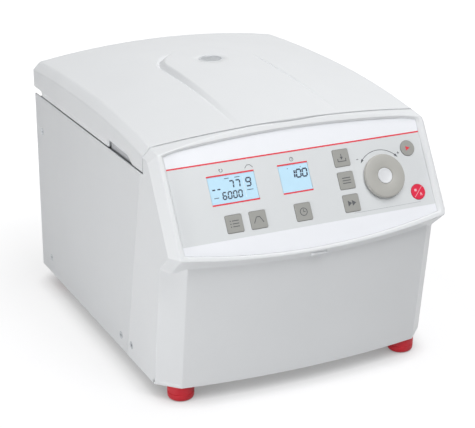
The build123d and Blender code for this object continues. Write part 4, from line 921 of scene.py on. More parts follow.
def scoop_piece(side):
    """Moulded pocket behind one finger scoop."""
    build = bmesh.new()
    strips = []
    for y in [SCOOP_REAR_Y - 0.8] + spaced(SCOOP_REAR_Y - 2, SCOOP_REAR_Y - SCOOP_LENGTH - 1, 3.0):
        top = skirt_foot(y) + 1.5
        line = [Vector((LID_HALF - SCOOP_DEPTH, top + (SCOOP_FOOT - top) * k / 4)) for k in range(5)]
        strips.append([build.verts.new(Vector((side * x, y, z)) * MM) for x, z in line])
    for near, far in zip(strips, strips[1:]):
        for k in range(len(near) - 1):
            build.faces.new((near[k], far[k], far[k + 1], near[k + 1]))
    name = "lid_scoop_" + ("right" if side > 0 else "left")
    # The pocket's grey is painted shade: it stands for the shade inside the recess.
    piece = piece_from(name, build, "grey_grip_moulding", "lid", (), 40)
    add_wall(piece, SCOOP_WALL, 0, False)


# ---------------------------------------------------------------- front moulding
FRONT_Y = -187.0
BASE_Z = 15.0
FACE_LEAN = 0.1356
FACE_SETBACK = 54.9
FACET_WIDTH = 18.5
FACET_DEPTH = 19.0
FACET_X = HALF_WIDTH - FACET_WIDTH
FACE_BOW = 9.9
BEZEL_CHAMFER = 9.6
LIP_SIDE = 94.5
LIP_BOW = 11.3
LIP_CORNER = 8.0
LIP_X = HALF_WIDTH - LIP_CORNER
LIP_PLAIN = 110.0        # the lip is a plain arc this far from the middle
LIP_RAKE = radians(40.0)
POCKET_DEPTH = 0.8
POCKET_EDGE = 2.6
POCKET_TOP = 1.8
POCKET_HALF = LABEL_HALF + LABEL_GAP + POCKET_EDGE
SIDE_SEAM_FOOT = -64.0
SIDE_SEAM_HEAD = -108.0
HEAD_FOOT_Z = 204.0      # the head's rear edge ends here, inside the side panels
BEZEL_BEHIND = 0.9       # the bezel starts at least this far ahead of the seam
FRONT_WALL = 2.4
COVE_RADIUS = 4.0
ROUND_STEPS = 5
LABEL_ROWS = 10
PANEL_NORMAL = Vector((-sin(PANEL_SLOPE), cos(PANEL_SLOPE)))
PANEL_FALL = Vector((-cos(PANEL_SLOPE), -sin(PANEL_SLOPE)))
PANEL_ORIGIN = Vector((LABEL_CORNER_Y, LABEL_CORNER_Z))
RAKE = Vector((cos(LIP_RAKE), -sin(LIP_RAKE)))


def rounded_corner(before, corner, after, radius):
    """Fixed number of points round one corner of a 2-D line."""
    back = before - corner
    ahead = after - corner
    half_turn = (pi - back.angle(ahead)) / 2
    reach = radius * tan(half_turn)
    limit = 0.46 * min(back.length, ahead.length)
    reach = min(limit, max(reach, 0.3))
    back.normalize()
    ahead.normalize()
    points = []
    for k in range(ROUND_STEPS + 1):
        t = k / ROUND_STEPS
        points.append(corner + back * reach * (1 - t) ** 2 + ahead * reach * t**2)
    return points


def along_line(points, x):
    """Second value of a 2-D line at one first value."""
    for low, high in zip(points, points[1:]):
        if low[0] <= x <= high[0] and high[0] > low[0]:
            return low[1] + (high[1] - low[1]) * (x - low[0]) / (high[0] - low[0])
    return points[-1][1]


def panel_seam(z):
    """Seam between side panel and moulding at one height, as a distance along the body."""
    return SIDE_SEAM_FOOT + (SIDE_SEAM_HEAD - SIDE_SEAM_FOOT) * (z - BASE_Z) / (PANEL_FRONT_Z - BASE_Z)


def front_sections():
    """Lines across the moulding: bezel depth, dome drop, lip and plan of the lower face."""
    soft = sizes().edge_radius / MM
    depth, drop = [
        rounded_line(
            [(0, 0), (SHOULDER_X, 0), (HALF_WIDTH, fall), (HALF_WIDTH, 20)], [1.5 * soft, 1.2 * soft], 6
        )[:-1]
        for fall in (BEZEL_CHAMFER, SHOULDER_DROP)
    ]
    lip = rounded_line(
        [
            (LIP_PLAIN, LIP_SIDE + arc_bow(LIP_PLAIN, LIP_X, LIP_BOW)),
            (LIP_X, LIP_SIDE),
            (HALF_WIDTH, LIP_SIDE - LIP_CORNER),
        ],
        [5.0], 6,
    )
    plan = rounded_line(
        [
            (PLAIN_HALF, -arc_bow(PLAIN_HALF, FACET_X, FACE_BOW)),
            (FACET_X, 0),
            (HALF_WIDTH, FACET_DEPTH),
            (HALF_WIDTH, FACET_DEPTH + 20),
        ],
        [2.2, 1.8], 6,
    )[:-1]
    return depth, drop, lip, plan


def front_columns(depth, plan):
    """Distances from the middle at which the moulding's profile is drawn."""
    marks = spaced(0.0, PLAIN_HALF, 6.0) + [PLAIN_HALF, LIP_PLAIN, 114.0, POCKET_HALF]
    marks += [point[0] for point in depth[1:]] + [point[0] for point in plan[1:]]
    kept = []
    for x in sorted(marks):
        if not kept or x - kept[-1] > 0.04:
            kept.append(x)
    kept[-1] = HALF_WIDTH
    return kept


def on_rim(s, out):
    """Point of the control panel's section: down the slope and out of the label's face."""
    return PANEL_ORIGIN + PANEL_FALL * s + PANEL_NORMAL * out


def head_edges(x, out, fallen):
    """Foot and top of the head's rear edge at the seam, and the bezel's upper edge."""
    seam = seam_front(x) - LID_SEAM_GAP

    def dome(y):
        crown = arc_bow(x, SHOULDER_X, CROWN) if x < SHOULDER_X else 0.0
        return shoulder_height(y) + crown - fallen - SEAM_DROP

    def slope_at(y):
        return on_rim((y - PANEL_ORIGIN.x - PANEL_NORMAL.x * out) / PANEL_FALL.x, out)

    # Halving finds where the panel's slope meets the dome, as a distance down the slope.
    low, high = -40.0, 30.0
    for _ in range(40):
        middle = (low + high) / 2
        point = on_rim(middle, out)
        if point.y > dome(point.x):
            low = middle
        else:
            high = middle
    bezel = on_rim((low + high) / 2, out)
    seam_top = Vector((seam, min(dome(seam), slope_at(seam).y)))
    if bezel.x > seam - BEZEL_BEHIND:
        bezel = slope_at(seam - BEZEL_BEHIND)
    seam_foot = Vector((seam, HEAD_FOOT_Z if x < HALF_WIDTH - 2.8 else PANEL_FRONT_Z))
    return seam_foot, seam_top, bezel


def face_edges(x, sunk, lip, plan):
    """Tip of the lip, the cove under it and the foot of the lower face."""
    lip_s = LIP_SIDE + arc_bow(x, LIP_X, LIP_BOW) if x <= LIP_PLAIN else along_line(lip, x)
    edge = on_rim(lip_s, RIM_HEIGHT)
    edge = edge + RAKE * (sunk / -RAKE.dot(PANEL_NORMAL))
    plan_y = -arc_bow(x, FACET_X, FACE_BOW) if x <= PLAIN_HALF else along_line(plan, x)
    setback = FRONT_Y + FACE_SETBACK - FACET_DEPTH + plan_y
    ahead = setback - FACE_LEAN * (edge.y - BASE_Z) - edge.x
    cove = edge + RAKE * (ahead / (RAKE.x + FACE_LEAN * RAKE.y))
    return edge, cove, Vector((setback, BASE_Z))


def front_profile(x, lines):
    """Profile of the moulding at one distance from the middle, and where its label rows start."""
    depth, drop, lip, plan = lines
    soft = sizes().edge_radius / MM
    sunk = along_line(depth, x)
    out = RIM_HEIGHT - sunk
    seam_foot, seam_top, bezel = head_edges(x, out, along_line(drop, x))
    edge, cove, bottom = face_edges(x, sunk, lip, plan)
    inside = bottom + Vector((FRONT_WALL, 0))
    margin = LABEL_GAP + POCKET_TOP
    label_top = -arc_bow(min(x, LABEL_HALF), LABEL_HALF, LABEL_TOP_BOW) - margin
    label_foot = LABEL_FOOT + arc_bow(min(x, LABEL_HALF), LABEL_HALF, LABEL_FOOT_BOW) + margin
    points = [seam_foot, seam_foot.lerp(seam_top, 0.6)]
    points += rounded_corner(seam_foot, seam_top, bezel, 0.5)
    points += rounded_corner(seam_top, bezel, edge, 1.4 * soft)
    first = len(points)
    lip_round = rounded_corner(bezel, edge, cove, 1.3 * soft)
    top = max(label_top, (points[-1] - PANEL_ORIGIN).dot(PANEL_FALL) + 0.2)
    foot = min(label_foot, (lip_round[0] - PANEL_ORIGIN).dot(PANEL_FALL) - 0.2)
    points += [on_rim(top + (foot - top) * k / LABEL_ROWS, out) for k in range(LABEL_ROWS + 1)]
    points += lip_round
    points += [lip_round[-1].lerp(cove, 0.4)]
    points += rounded_corner(edge, cove, bottom, COVE_RADIUS)
    points += [cove.lerp(bottom, k / 8) for k in range(1, 8)]
    points += rounded_corner(cove, bottom, inside, 1.0)
    points += [inside, inside + Vector((0, 4.0))]
    return points, first


def front_skin():
    """Open outer skin of the front moulding, with the label's pocket."""
    lines = front_sections()
    columns = front_columns(lines[0], lines[3])
    xs = [-x for x in reversed(columns[1:])] + columns
    build = bmesh.new()
    grid = []
    for x in xs:
        points, first = front_profile(abs(x), lines)
        grid.append([build.verts.new(Vector((x, y, z)) * MM) for y, z in points])
    inside = [i for i, x in enumerate(xs) if abs(x) < POCKET_HALF + 0.01]
    left, right = inside[0], inside[-1]
    for i in range(len(xs) - 1):
        for j in range(len(grid[0]) - 1):
            if not (left <= i < right and first <= j < first + LABEL_ROWS):
                build.faces.new((grid[i][j], grid[i + 1][j], grid[i + 1][j + 1], grid[i][j + 1]))
    sink_pocket(build, grid, left, right, first)
    for i in (0, len(xs) - 1):
        seam = [Vector((xs[i], panel_seam(z) - SEAM_GAP / 2, z)) * MM for z in (BASE_Z, PANEL_FRONT_Z)]
        build.faces.new(grid[i][:-2] + [build.verts.new(corner) for corner in seam])
    return build


def sink_pocket(build, grid, left, right, first):
    """Rounded edge and wall of the pocket that holds the label."""
    last = first + LABEL_ROWS
    rim = [(i, first) for i in range(left, right + 1)] + [(right, j) for j in range(first + 1, last + 1)]
    rim += [(i, last) for i in range(right - 1, left - 1, -1)]
    rim += [(left, j) for j in range(last - 1, first, -1)]
    upper = [grid[i][j] for i, j in rim]
    # Each step: share of the edge's width, and depth below the rim in millimetres.
    for share, sink in ((0.1, 0.1), (0.25, 0.35), (0.92, 2.1), (1.0, 2.5), (1.0, RIM_HEIGHT + POCKET_DEPTH)):
        lower = []
        for i, j in rim:
            shift = Vector((((i == left) - (i == right)) * share * POCKET_EDGE * MM, 0, 0))
            shift += PANEL_DOWN * ((j == first) - (j == last)) * share * POCKET_TOP
            lower.append(build.verts.new(grid[i][j].co + shift - PANEL_OUT * sink))
        add_band(build, upper, lower)
        upper = lower


# Where the moulding's wall thins out: above this height and behind this place, to this share.
THIN_ABOVE = 236.0
THIN_BEHIND = -130.0
THIN_SHARE = 0.1
# Release plug: middle of its slot, and the slot's length over its ends and width.
PLUG_PLACE = Vector((0.0, -182.0, 137.6))
PLUG_SLOT = (16.6, 5.6)
SCREW_HEAD = 3.8
SCREW_SHANK = 2.0
SCREW_SINK = 1.8
SCREW_CLEARANCE = 0.15
SCREW_LENGTH = 12.2
SCREW_CROSS = 3.8
# Places of the side screws as (y, z), the first one in the moulding, and of the foot screws as y.
FRONT_SCREW = (-75.8, 29.6)
SIDE_SCREWS = (FRONT_SCREW, (-48.7, 28.7), (152.0, 33.0), (163.8, 169.7))
FOOT_SCREWS = (-137.3, 150.0)
FOOT_SCREW_X = 116.6
FOOT_SCREW_Z = 4.0
CUT_REACH = 9            # how far the cutting forms reach into the wall


def housing_cutter():
    """Forms that make the moulding's countersunk holes and the slot of the release plug."""
    build = bmesh.new()
    head = SCREW_HEAD + SCREW_CLEARANCE
    shank = SCREW_SHANK + SCREW_CLEARANCE
    profile = [(0, 1), (head, 1), (head, 0), (shank, -SCREW_SINK), (shank, -CUT_REACH), (0, -CUT_REACH)]
    for side in (-1, 1):
        place = Vector((side * HALF_WIDTH, *FRONT_SCREW))
        add_turned(build, place, Vector((0, 1, 0)), Vector((side, 0, 0)), profile, 32)
    plug_out = Vector((0, -sin(LIP_RAKE), -cos(LIP_RAKE)))
    add_prism(build, PLUG_PLACE, X_AXIS, plug_out, slot_outline(*PLUG_SLOT), -CUT_REACH, CUT_REACH)
    bmesh.ops.recalc_face_normals(build, faces=build.faces)
    return placed("housing_cutter", mesh_from("housing_cutter", build))


def front_housing_piece():
    """Moulded front with its control head."""
    piece = piece_from(
        "front_moulding", front_skin(), "satin_moulded_abs", "root",
        ("front_housing",), 50,
    )
    wall = add_wall(piece, FRONT_WALL, -1, False)
    # The wall thins out under the seam, where it would show through the acute edge.
    edge = piece.vertex_groups.new(name="Thin at the seam")
    for vert in piece.data.vertices:
        near = vert.co.z > THIN_ABOVE * MM and vert.co.y > THIN_BEHIND * MM
        edge.add([vert.index], THIN_SHARE if near else 1.0, "REPLACE")
    wall.vertex_group = edge.name
    for vert in bake_modifiers(piece).vertices:
        vert.co.x = min(HALF_WIDTH * MM, max(-HALF_WIDTH * MM, vert.co.x))
    cutter = housing_cutter()
    holes = piece.modifiers.new("Screw and plug holes", "BOOLEAN")
    holes.operation = "DIFFERENCE"
    holes.solver = "EXACT"
    holes.object = cutter
    bake_modifiers(piece)
    bpy.data.objects.remove(cutter)
    keep_flat(piece)


# ---------------------------------------------------------------- feet, screws, springs and window bars
# Section of a foot from its sole, up its side and down through the screw hole: (radius, height).
FOOT_PROFILE = (
    (4.8, 0), (9.2, 0), (10.6, 0.35), (11.6, 1.2), (12.2, 2.4), (12.45, 4.2), (12.5, 6.6), (12.1, 6.9),
    (12.1, 7.4), (12.5, 7.7), (12.6, 12), (12.6, 15), (2.15, 15), (2.15, 5.8), (3.95, 4), (4.8, 4), (4.8, 0),
)
SPRING_PLACES = (-106.5, -84.5, 77.5, 99.5)   # left end of each spring
SPRING_WIDTH = 7.0
SPRING_RADIUS = 3.1
SPRING_WIRE = 0.55
SPRING_TURNS = 4.5
PIN_Y = 178.0
PIN_Z = 207.3
SIGHT_GLASS_Z = 259.62
SIGHT_GLASS_RADIUS = 9.8
BARS = 9
BAR_PITCH = 2.0
BAR_WIDTH = 0.9
BAR_HEIGHT = 0.3


def feet_piece():
    """Four moulded feet, each with a fine ring line and a pocket for its screw."""
    build = bmesh.new()
    for x in (-FOOT_SCREW_X, FOOT_SCREW_X):
        for y in FOOT_SCREWS:
            add_turned(build, Vector((x, y, 0)), X_AXIS, Z_AXIS, FOOT_PROFILE, 48)
    bmesh.ops.remove_doubles(build, verts=build.verts, dist=0.01 * MM)
    piece_from("rubber_feet", build, "red_moulded_rubber", "root", ("feet",), 40)


def housing_screws():
    """All the countersunk screws of the housing and the feet."""
    places = [(side * HALF_WIDTH, y, z) for side in (-1, 1) for y, z in SIDE_SCREWS]
    axes = [(side, 0, 0) for side in (-1, 1) for _ in SIDE_SCREWS]
    places += [(side * FOOT_SCREW_X, y, FOOT_SCREW_Z) for side in (-1, 1) for y in FOOT_SCREWS]
    axes += [(0, 0, -1)] * (len(places) - len(axes))
    values = {
        "Head Radius": SCREW_HEAD * MM,
        "Shank Radius": SCREW_SHANK * MM,
        "Length": SCREW_LENGTH * MM,
        "Cross": SCREW_CROSS * MM,
        "Material": finish("zinc_plated_steel"),
    }
    seeds = seed_points("screw_seeds", places, "axis", axes)
    grown("housing_screws", seeds, screw_tree(), values, "root", ("screws",), 30)


def hinge_coils():
    """Lid-balancing springs wound round the hinge pins."""
    values = {
        "Coil Radius": SPRING_RADIUS * MM,
        "Wire Radius": SPRING_WIRE * MM,
        "Turns": SPRING_TURNS,
        "Length": (SPRING_WIDTH - 2 * SPRING_WIRE) * MM,
        "Material": finish("zinc_plated_steel"),
    }
    seeds = seed_points("spring_seeds", [(x + SPRING_WIRE, PIN_Y, PIN_Z) for x in SPRING_PLACES])
    grown("hinge_coils", seeds, coil_tree(), values, "root", ("hinge_springs",), 60)


def sight_bars():
    """Fine bars of the guard moulded into the sight glass."""
    rows = [BAR_PITCH * (k - (BARS - 1) / 2) for k in range(BARS)]
    spans = [2 * sqrt(SIGHT_GLASS_RADIUS**2 - row * row) * MM for row in rows]
    values = {"Width": BAR_WIDTH * MM, "Height": BAR_HEIGHT * MM, "Material": finish("grey_window_guard")}
    seeds = seed_points("window_seeds", [(0, AXIS_Y + row, SIGHT_GLASS_Z) for row in rows], "span", spans)
    grown("sight_glass_bars", seeds, bars_tree(), values, "lid", (), 30)


# ---------------------------------------------------------------- prints on the label
# Places on the label are (across from the middle, down the slope), in millimetres.
INK_ROOT = 0.02          # prints start this far under the face that carries them
GLASS_SINK = -0.2        # the displays' figures lie this far under the label's face
KEY_FACE = 0.6           # height of the keys' faces over the label
KNOB_PLACE = (80.0, 49.5)
KNOB_RADIUS = 20.3
KNOB_FOOT = 0.4          # heights of the knob's underside and face over the label
KNOB_FACE = 4.4
HUB_RADIUS = 7.2
ARROW_RADIUS = 25.0
ARROW_ENDS = (-134, -47)
# Each display: left, right, top and foot.
DISPLAY_EDGES = ((-91.8, -46.0, 24.9, 50.7), (-22.4, 7.4, 24.6, 50.5))
FIGURE_LEAN = 0.1
SEGMENT_GAP = 0.24       # share of a segment's width left out at each of its ends
SEGMENTS = {"0": "abcdef", "1": "bc", "6": "acdefg", "7": "abc", "9": "abcdfg", "-": "g"}
SEGMENT_ENDS = {
    "a": (0, 0, 1, 0),
    "b": (1, 0, 1, 0.5),
    "c": (1, 0.5, 1, 1),
    "d": (0, 1, 1, 1),
    "e": (0, 0.5, 0, 1),
    "f": (0, 0, 0, 0.5),
    "g": (0, 0.5, 1, 0.5),
}
# Rows of figures: signs, left, top, width, pitch, height and width of a segment.
FIGURE_ROWS = (
    ("77", -72.0, 31.0, 3.9, 6.1, 6.4, 1.25),
    ("9", -55.8, 30.6, 4.3, 5, 7.2, 1.3),
    ("6000", -80.2, 40.4, 3.2, 5.1, 6.0, 1.15),
    ("--", -89.4, 34.4, 3.4, 5.0, 5.2, 1.2),
    ("1", -12.0, 30.4, 4.2, 5, 7.0, 1.35),
    ("00", -5.8, 30.4, 4.3, 6.1, 7.0, 1.35),
)
# Small bars beside the figures: both ends.
DISPLAY_BARS = (
    ((-75.5, 28.3), (-71.0, 28.3)),
    ((-65.5, 28.3), (-60.5, 28.3)),
    ((-88.5, 44.4), (-84.0, 44.4)),
    ((-56.0, 41.2), (-50.0, 41.2)),
    ((-6.6, 32.4), (-6.6, 33.1)),
    ((-6.8, 35.0), (-6.8, 35.7)),
)
# Dark marks of the label: both ends and the width of each stroke.
MINUS_AND_PLUS = (
    ((56.8, 30.2), (58.8, 30.2), 0.5),
    ((99.4, 30.0), (101.8, 30.0), 0.5),
    ((100.6, 28.8), (100.6, 31.2), 0.5),
)
RAMP_SIGN = (
    ((-54.0, 22.0), (-51.6, 19.4), 0.45),
    ((-51.6, 19.4), (-48.6, 19.4), 0.45),
    ((-48.6, 19.4), (-46.2, 22.0), 0.45),
)
# Rule under the right-hand keys, and gap between the two fields of the left display.
KEY_RULE = ((42.3, 78.2), (112.5, 78.2), 0.35)
FIELD_GAP = ((-57.9, 28.4), (-57.9, 47.4), 0.5)
KEY_PLACES = {
    "program_key": (-75.2, 69.0),
    "recall_key": (-52.0, 69.0),
    "time_key": (-7.3, 69.0),
    "memory_key": (41.9, 26.5),
    "menu_key": (41.9, 47.6),
    "quick_key": (41.9, 68.7),
    "start_key": (111.4, 27.1),
    "stop_key": (111.9, 68.9),
}


def stroke(start, end, width):
    """Straight printed line, as its two long sides; points are (across, down) in millimetres."""
    start, end = Vector(start), Vector(end)
    aside = (end - start).normalized().orthogonal() * width / 2
    return [start + aside, end + aside], [start - aside, end - aside]


def bow(middle, radius, first, last, width, steps=24):
    """Printed arc between two angles in degrees, as its two long sides."""
    middle = Vector(middle)
    outer, inner = [], []
    for k in range(steps + 1):
        turn = radians(first + (last - first) * k / steps)
        way = Vector((cos(turn), sin(turn)))
        outer.append(middle + way * (radius + width / 2))
        inner.append(middle + way * (radius - width / 2))
    return outer, inner


def wedge(tip, base, width):
    """Printed arrowhead from its tip to the middle of its base."""
    tip, base = Vector(tip), Vector(base)
    aside = (base - tip).normalized().orthogonal()
    return [tip + aside * 0.02, base + aside * width / 2], [tip - aside * 0.02, base - aside * width / 2]


def figure(sign, left, top, width, height, line):
    """Seven-segment figure that leans a little to the right."""
    shapes = []
    for segment in SEGMENTS[sign]:
        u0, v0, u1, v1 = SEGMENT_ENDS[segment]
        start = Vector((left + u0 * width + FIGURE_LEAN * (1 - v0) * height, top + v0 * height))
        end = Vector((left + u1 * width + FIGURE_LEAN * (1 - v1) * height, top + v1 * height))
        gap = (end - start).normalized() * SEGMENT_GAP * line
        shapes.append(stroke(start + gap, end - gap, line))
    return shapes


def printed(name, shapes, ink, body, level=0.0):
    """Printed shapes in one ink, raised by the thickness of the ink."""
    build = bmesh.new()
    low, high = level - INK_ROOT, level + sizes().ink / MM
    for left, right in shapes:
        rows = []
        for near, far in zip(left, right):
            corners = ((near, low), (near, high), (far, high), (far, low))
            rows.append([build.verts.new(panel_point(p.x, p.y, d)) for p, d in corners])
        for near, far in zip(rows, rows[1:]):
            add_band(build, near, far)
        build.faces.new(rows[0])
        build.faces.new(rows[-1])
    piece_from(name, build, ink, body, (), 30)


def label_lines():
    """Red lines of the label: one across it, and one above and below each display."""
    width = sizes().red_line / MM
    lines = [stroke((-LABEL_HALF + 0.1, RED_LINE_DOWN), (LABEL_HALF - 0.1, RED_LINE_DOWN), width)]
    for left, right, top, foot in DISPLAY_EDGES:
        lines.append(stroke((left - 0.4, top), (right, top), width))
        lines.append(stroke((left, foot), (right + 0.2, foot), width))
    return lines


def label_marks():
    """Dark marks of the label: the knob's double arrow with its signs, and small signs over the displays."""
    marks = [bow(KNOB_PLACE, ARROW_RADIUS, *ARROW_ENDS, 0.5, 40)]
    for turn, way in zip(ARROW_ENDS, (-1, 1)):
        base = Vector(KNOB_PLACE) + ARROW_RADIUS * Vector((cos(radians(turn)), sin(radians(turn))))
        ahead = Vector((-sin(radians(turn + 6 * way)), cos(radians(turn + 6 * way)))) * way
        marks.append(wedge(base + ahead * 3.4, base - ahead * 0.4, 2.4))
    marks += [stroke(*ends) for ends in MINUS_AND_PLUS]
    # Round arrow for speed, ramp for run-up and run-down, clock for time.
    marks += [bow((-77.0, 20.6), 1.5, -60, 210, 0.45), wedge((-78.9, 20.9), (-78.0, 19.3), 1.3)]
    marks += [stroke(*ends) for ends in RAMP_SIGN]
    marks += [bow((-7.5, 20.4), 1.7, 0, 360, 0.4), stroke((-7.5, 20.5), (-7.5, 19.2), 0.35)]
    return marks + [stroke((-7.6, 20.4), (-6.6, 20.4), 0.35)]


def display_figures():
    """Dark segments of both displays: plain numbers and small bars."""
    shapes = []
    for signs, left, top, width, pitch, height, line in FIGURE_ROWS:
        for place, sign in enumerate(signs):
            shapes += figure(sign, left + place * pitch, top, width, height, line)
    shapes += [stroke(*ends, 0.6) for ends in DISPLAY_BARS]
    return shapes + [wedge((-12.6, 28.4), (-13.6, 28.4), 0.9), wedge((0.4, 28.2), (-0.6, 28.2), 0.9)]


def key_signs(key):
    """Plain signs in place of words: what each key does, drawn round its middle."""
    at = Vector(KEY_PLACES[key])

    def line(x0, s0, x1, s1, width=0.7):
        return stroke(at + Vector((x0, s0)), at + Vector((x1, s1)), width)

    def head(x0, s0, x1, s1, width):
        return wedge(at + Vector((x0, s0)), at + Vector((x1, s1)), width)

    if key == "program_key":
        rows = (-2.6, 0.0, 2.6)
        dots = [line(-4.2, row, -3.2, row, 0.9) for row in rows]
        return dots + [line(-2.0, row, 4.4, row) for row in rows]
    if key == "recall_key":
        return [line(-4.6, 2.8, -1.6, -2.6), line(-1.6, -2.6, 1.6, -2.6), line(1.6, -2.6, 4.6, 2.8)]
    if key == "time_key":
        return [bow(at, 3.4, 0, 360, 0.65), line(0, 0.2, 0, -2.4, 0.55), line(-0.2, 0, 1.9, 0, 0.55)]
    if key == "memory_key":
        tray = [line(-4.0, 0.6, -4.0, 3.2), line(-4.3, 3.2, 4.3, 3.2), line(4.0, 0.6, 4.0, 3.2)]
        return tray + [line(0, -3.6, 0, -0.4), head(0, 1.7, 0, -0.8, 3.2)]
    if key == "menu_key":
        return [line(-4.2, row, 4.2, row, 0.8) for row in (-2.4, 0.0, 2.4)]
    if key == "quick_key":
        return [head(0.2, 0, -3.8, 0, 5.4), head(4.4, 0, 0.4, 0, 5.4)]
    if key == "start_key":
        return [head(2.4, 0, -1.9, 0, 4.2)]
    bars = [line(-4.6, 4.6, 4.6, -4.6, 0.45), line(-3.8, -1.9, -1.4, -1.9, 2.2)]
    return bars + [line(1.0, 3.4, 3.6, 3.4, 0.5), head(2.3, 0.6, 2.3, 2.7, 2.4)]


def knob_part(name, profile, material, steps, stands_for=()):
    """One turned part of the knob; profile is (radius, height above the label) pairs."""
    build = bmesh.new()
    middle = panel_point(*KNOB_PLACE, 0) / MM
    add_turned(build, middle, X_AXIS, PANEL_OUT / MM, profile, steps)
    piece_from(name, build, material, "control_knob", stands_for, 40)


def knob_piece():
    """Flat turning knob with a rounded rim and a shallow groove round its hub."""
    profile = [(0, KNOB_FOOT), (KNOB_RADIUS - 0.6, KNOB_FOOT), (KNOB_RADIUS, KNOB_FOOT + 0.5)]
    profile += [
        (start + inward, KNOB_FACE - drop)
        for start, inward, drop in (
            (KNOB_RADIUS, 0, 1.3),
            (KNOB_RADIUS, -0.2, 0.6),
            (KNOB_RADIUS, -0.6, 0.2),
            (KNOB_RADIUS, -1.3, 0),
            (HUB_RADIUS, 1.2, 0.15),
            (HUB_RADIUS, 0.5, 0.4),
            (HUB_RADIUS, 0.2, 0.9),
            (0, 0, 0.9),
        )
    ]
    knob_part("control_knob_turned", profile, "pale_knob_moulding", 96, ("control_knob",))


def knob_hub_piece():
    """Pale cap in the middle of the knob, dished for a fingertip."""
    profile = [(0, KNOB_FACE - 0.95), (HUB_RADIUS, KNOB_FACE - 0.95), (HUB_RADIUS, KNOB_FACE - 0.45)]
    profile += [(HUB_RADIUS - 0.15, KNOB_FACE - 0.2), (HUB_RADIUS - 0.5, KNOB_FACE - 0.1)]
    profile += [(HUB_RADIUS * k / 6, KNOB_FACE - 0.75 + 0.65 * (k / 6) ** 2) for k in range(5, -1, -1)]
    knob_part("control_knob_hub", profile, "pale_hub_moulding", 64)


# ---------------------------------------------------------------- stage
CAMERA_PLACE = (-604.20, -1282.22, 658.62)
CAMERA_YAW = -25.46
CAMERA_PITCH = -21.09
FOCAL_PIXELS = 1523.2
SENSOR = 36.0
NEAREST = 0.05
FLOOR_HALF = 12.0
PAPER_LIT = "#D4D4D4"    # colour with which the paper lights the object
PAPER_SEEN = "#868688"   # share of the paper's own shading that the camera sees, under its glow
SURROUND = "#FDFEFF"
SURROUND_STRENGTH = 0.2
SHELTER_REACH = 0.035
# The floor's glow, dimmed near the object as painted shade: where it starts and stops growing, and its share of
# white before that. The first is by distance in metres, the second by how open the floor is there.
GLOW_OUTWARD = (0.25, 0.65, 0.79)
GLOW_CONTACT = (0.1, 0.8, 0.3)
# Each lamp: name, place in metres, width in metres and power in watts.
LAMPS = (
    ("overhead", (0.2, -0.4, 2.6), 1.4, 27.5),
    ("front", (0.4, -1.8, 2.5), 1.2, 33.0),
    ("left", (-1.0, -0.4, 0.08), 0.15, 3.3),
)
LAMP_AIM = Vector((0, 0, 0.12))


def set_camera():
    """Camera at a standing person's view of the machine's front left."""
    data = bpy.data.cameras.new("view")
    data.sensor_width = SENSOR
    data.lens = FOCAL_PIXELS / IMAGE_WIDTH * SENSOR
    data.clip_start = NEAREST
    camera = placed("view", data)
    camera.location = Vector(CAMERA_PLACE) * MM
    camera.rotation_euler = (radians(90 + CAMERA_PITCH), 0, radians(CAMERA_YAW))
    bpy.context.scene.camera = camera


def seen_directly(tree):
    """1 for camera, glossy and transmission rays, 0 for the rays that light things."""
    path = add_node(tree, "ShaderNodeLightPath").outputs
    seen = path["Is Camera Ray"]
    for kind in ("Is Glossy Ray", "Is Transmission Ray"):
        either = {0: seen, 1: path[kind]}
        seen = add_node(tree, "ShaderNodeMath", None, either, operation="MAXIMUM").outputs[0]
    return seen


def set_floor():
    """Wide sheet of white paper that keeps the object's shadow.

    It is brighter further out, and darker right under the object, where little light gets in; this darkening is
    painted shade in the glow that the camera sees, over the real shadow that the paper keeps.
    """
    build = bmesh.new()
    bmesh.ops.create_grid(build, x_segments=2, y_segments=2, size=FLOOR_HALF)
    floor = placed("floor", mesh_from("floor", build))
    material = bpy.data.materials.new("seamless_white_paper")
    material.use_nodes = True
    tree = material.node_tree
    tree.nodes.clear()
    lit = add_node(tree, "ShaderNodeBsdfDiffuse", {"Color": opaque(linear(PAPER_LIT))})
    pale = add_node(tree, "ShaderNodeBsdfDiffuse", {"Color": opaque(linear(PAPER_SEEN))})
    place = add_node(tree, "ShaderNodeTexCoord").outputs["Object"]
    reach = add_node(tree, "ShaderNodeVectorMath", None, {0: place}, operation="LENGTH").outputs["Value"]
    shelter = add_node(tree, "ShaderNodeAmbientOcclusion", {"Distance": SHELTER_REACH}, samples=16)
    outward, contact = [
        add_node(
            tree, "ShaderNodeMapRange",
            {"From Min": start, "From Max": end, "To Min": low, "To Max": 1.0}, {"Value": source},
        ).outputs["Result"]
        for source, (start, end, low) in ((reach, GLOW_OUTWARD), (shelter.outputs["AO"], GLOW_CONTACT))
    ]
    # The glow's strength is painted shade: lower near the object, and lowest where the floor is sheltered under
    # it.
    strength = add_node(tree, "ShaderNodeMath", None, {0: outward, 1: contact}, operation="MULTIPLY")
    glow = add_node(tree, "ShaderNodeEmission", {"Color": (1, 1, 1, 1)}, {"Strength": strength.outputs[0]})
    both = add_node(tree, "ShaderNodeAddShader", None, {0: pale.outputs[0], 1: glow.outputs[0]})
    ways = {0: seen_directly(tree), 1: lit.outputs[0], 2: both.outputs[0]}
    mix = add_node(tree, "ShaderNodeMixShader", None, ways)
    add_node(tree, "ShaderNodeOutputMaterial", None, {"Surface": mix.outputs[0]})
    floor.data.materials.append(material)


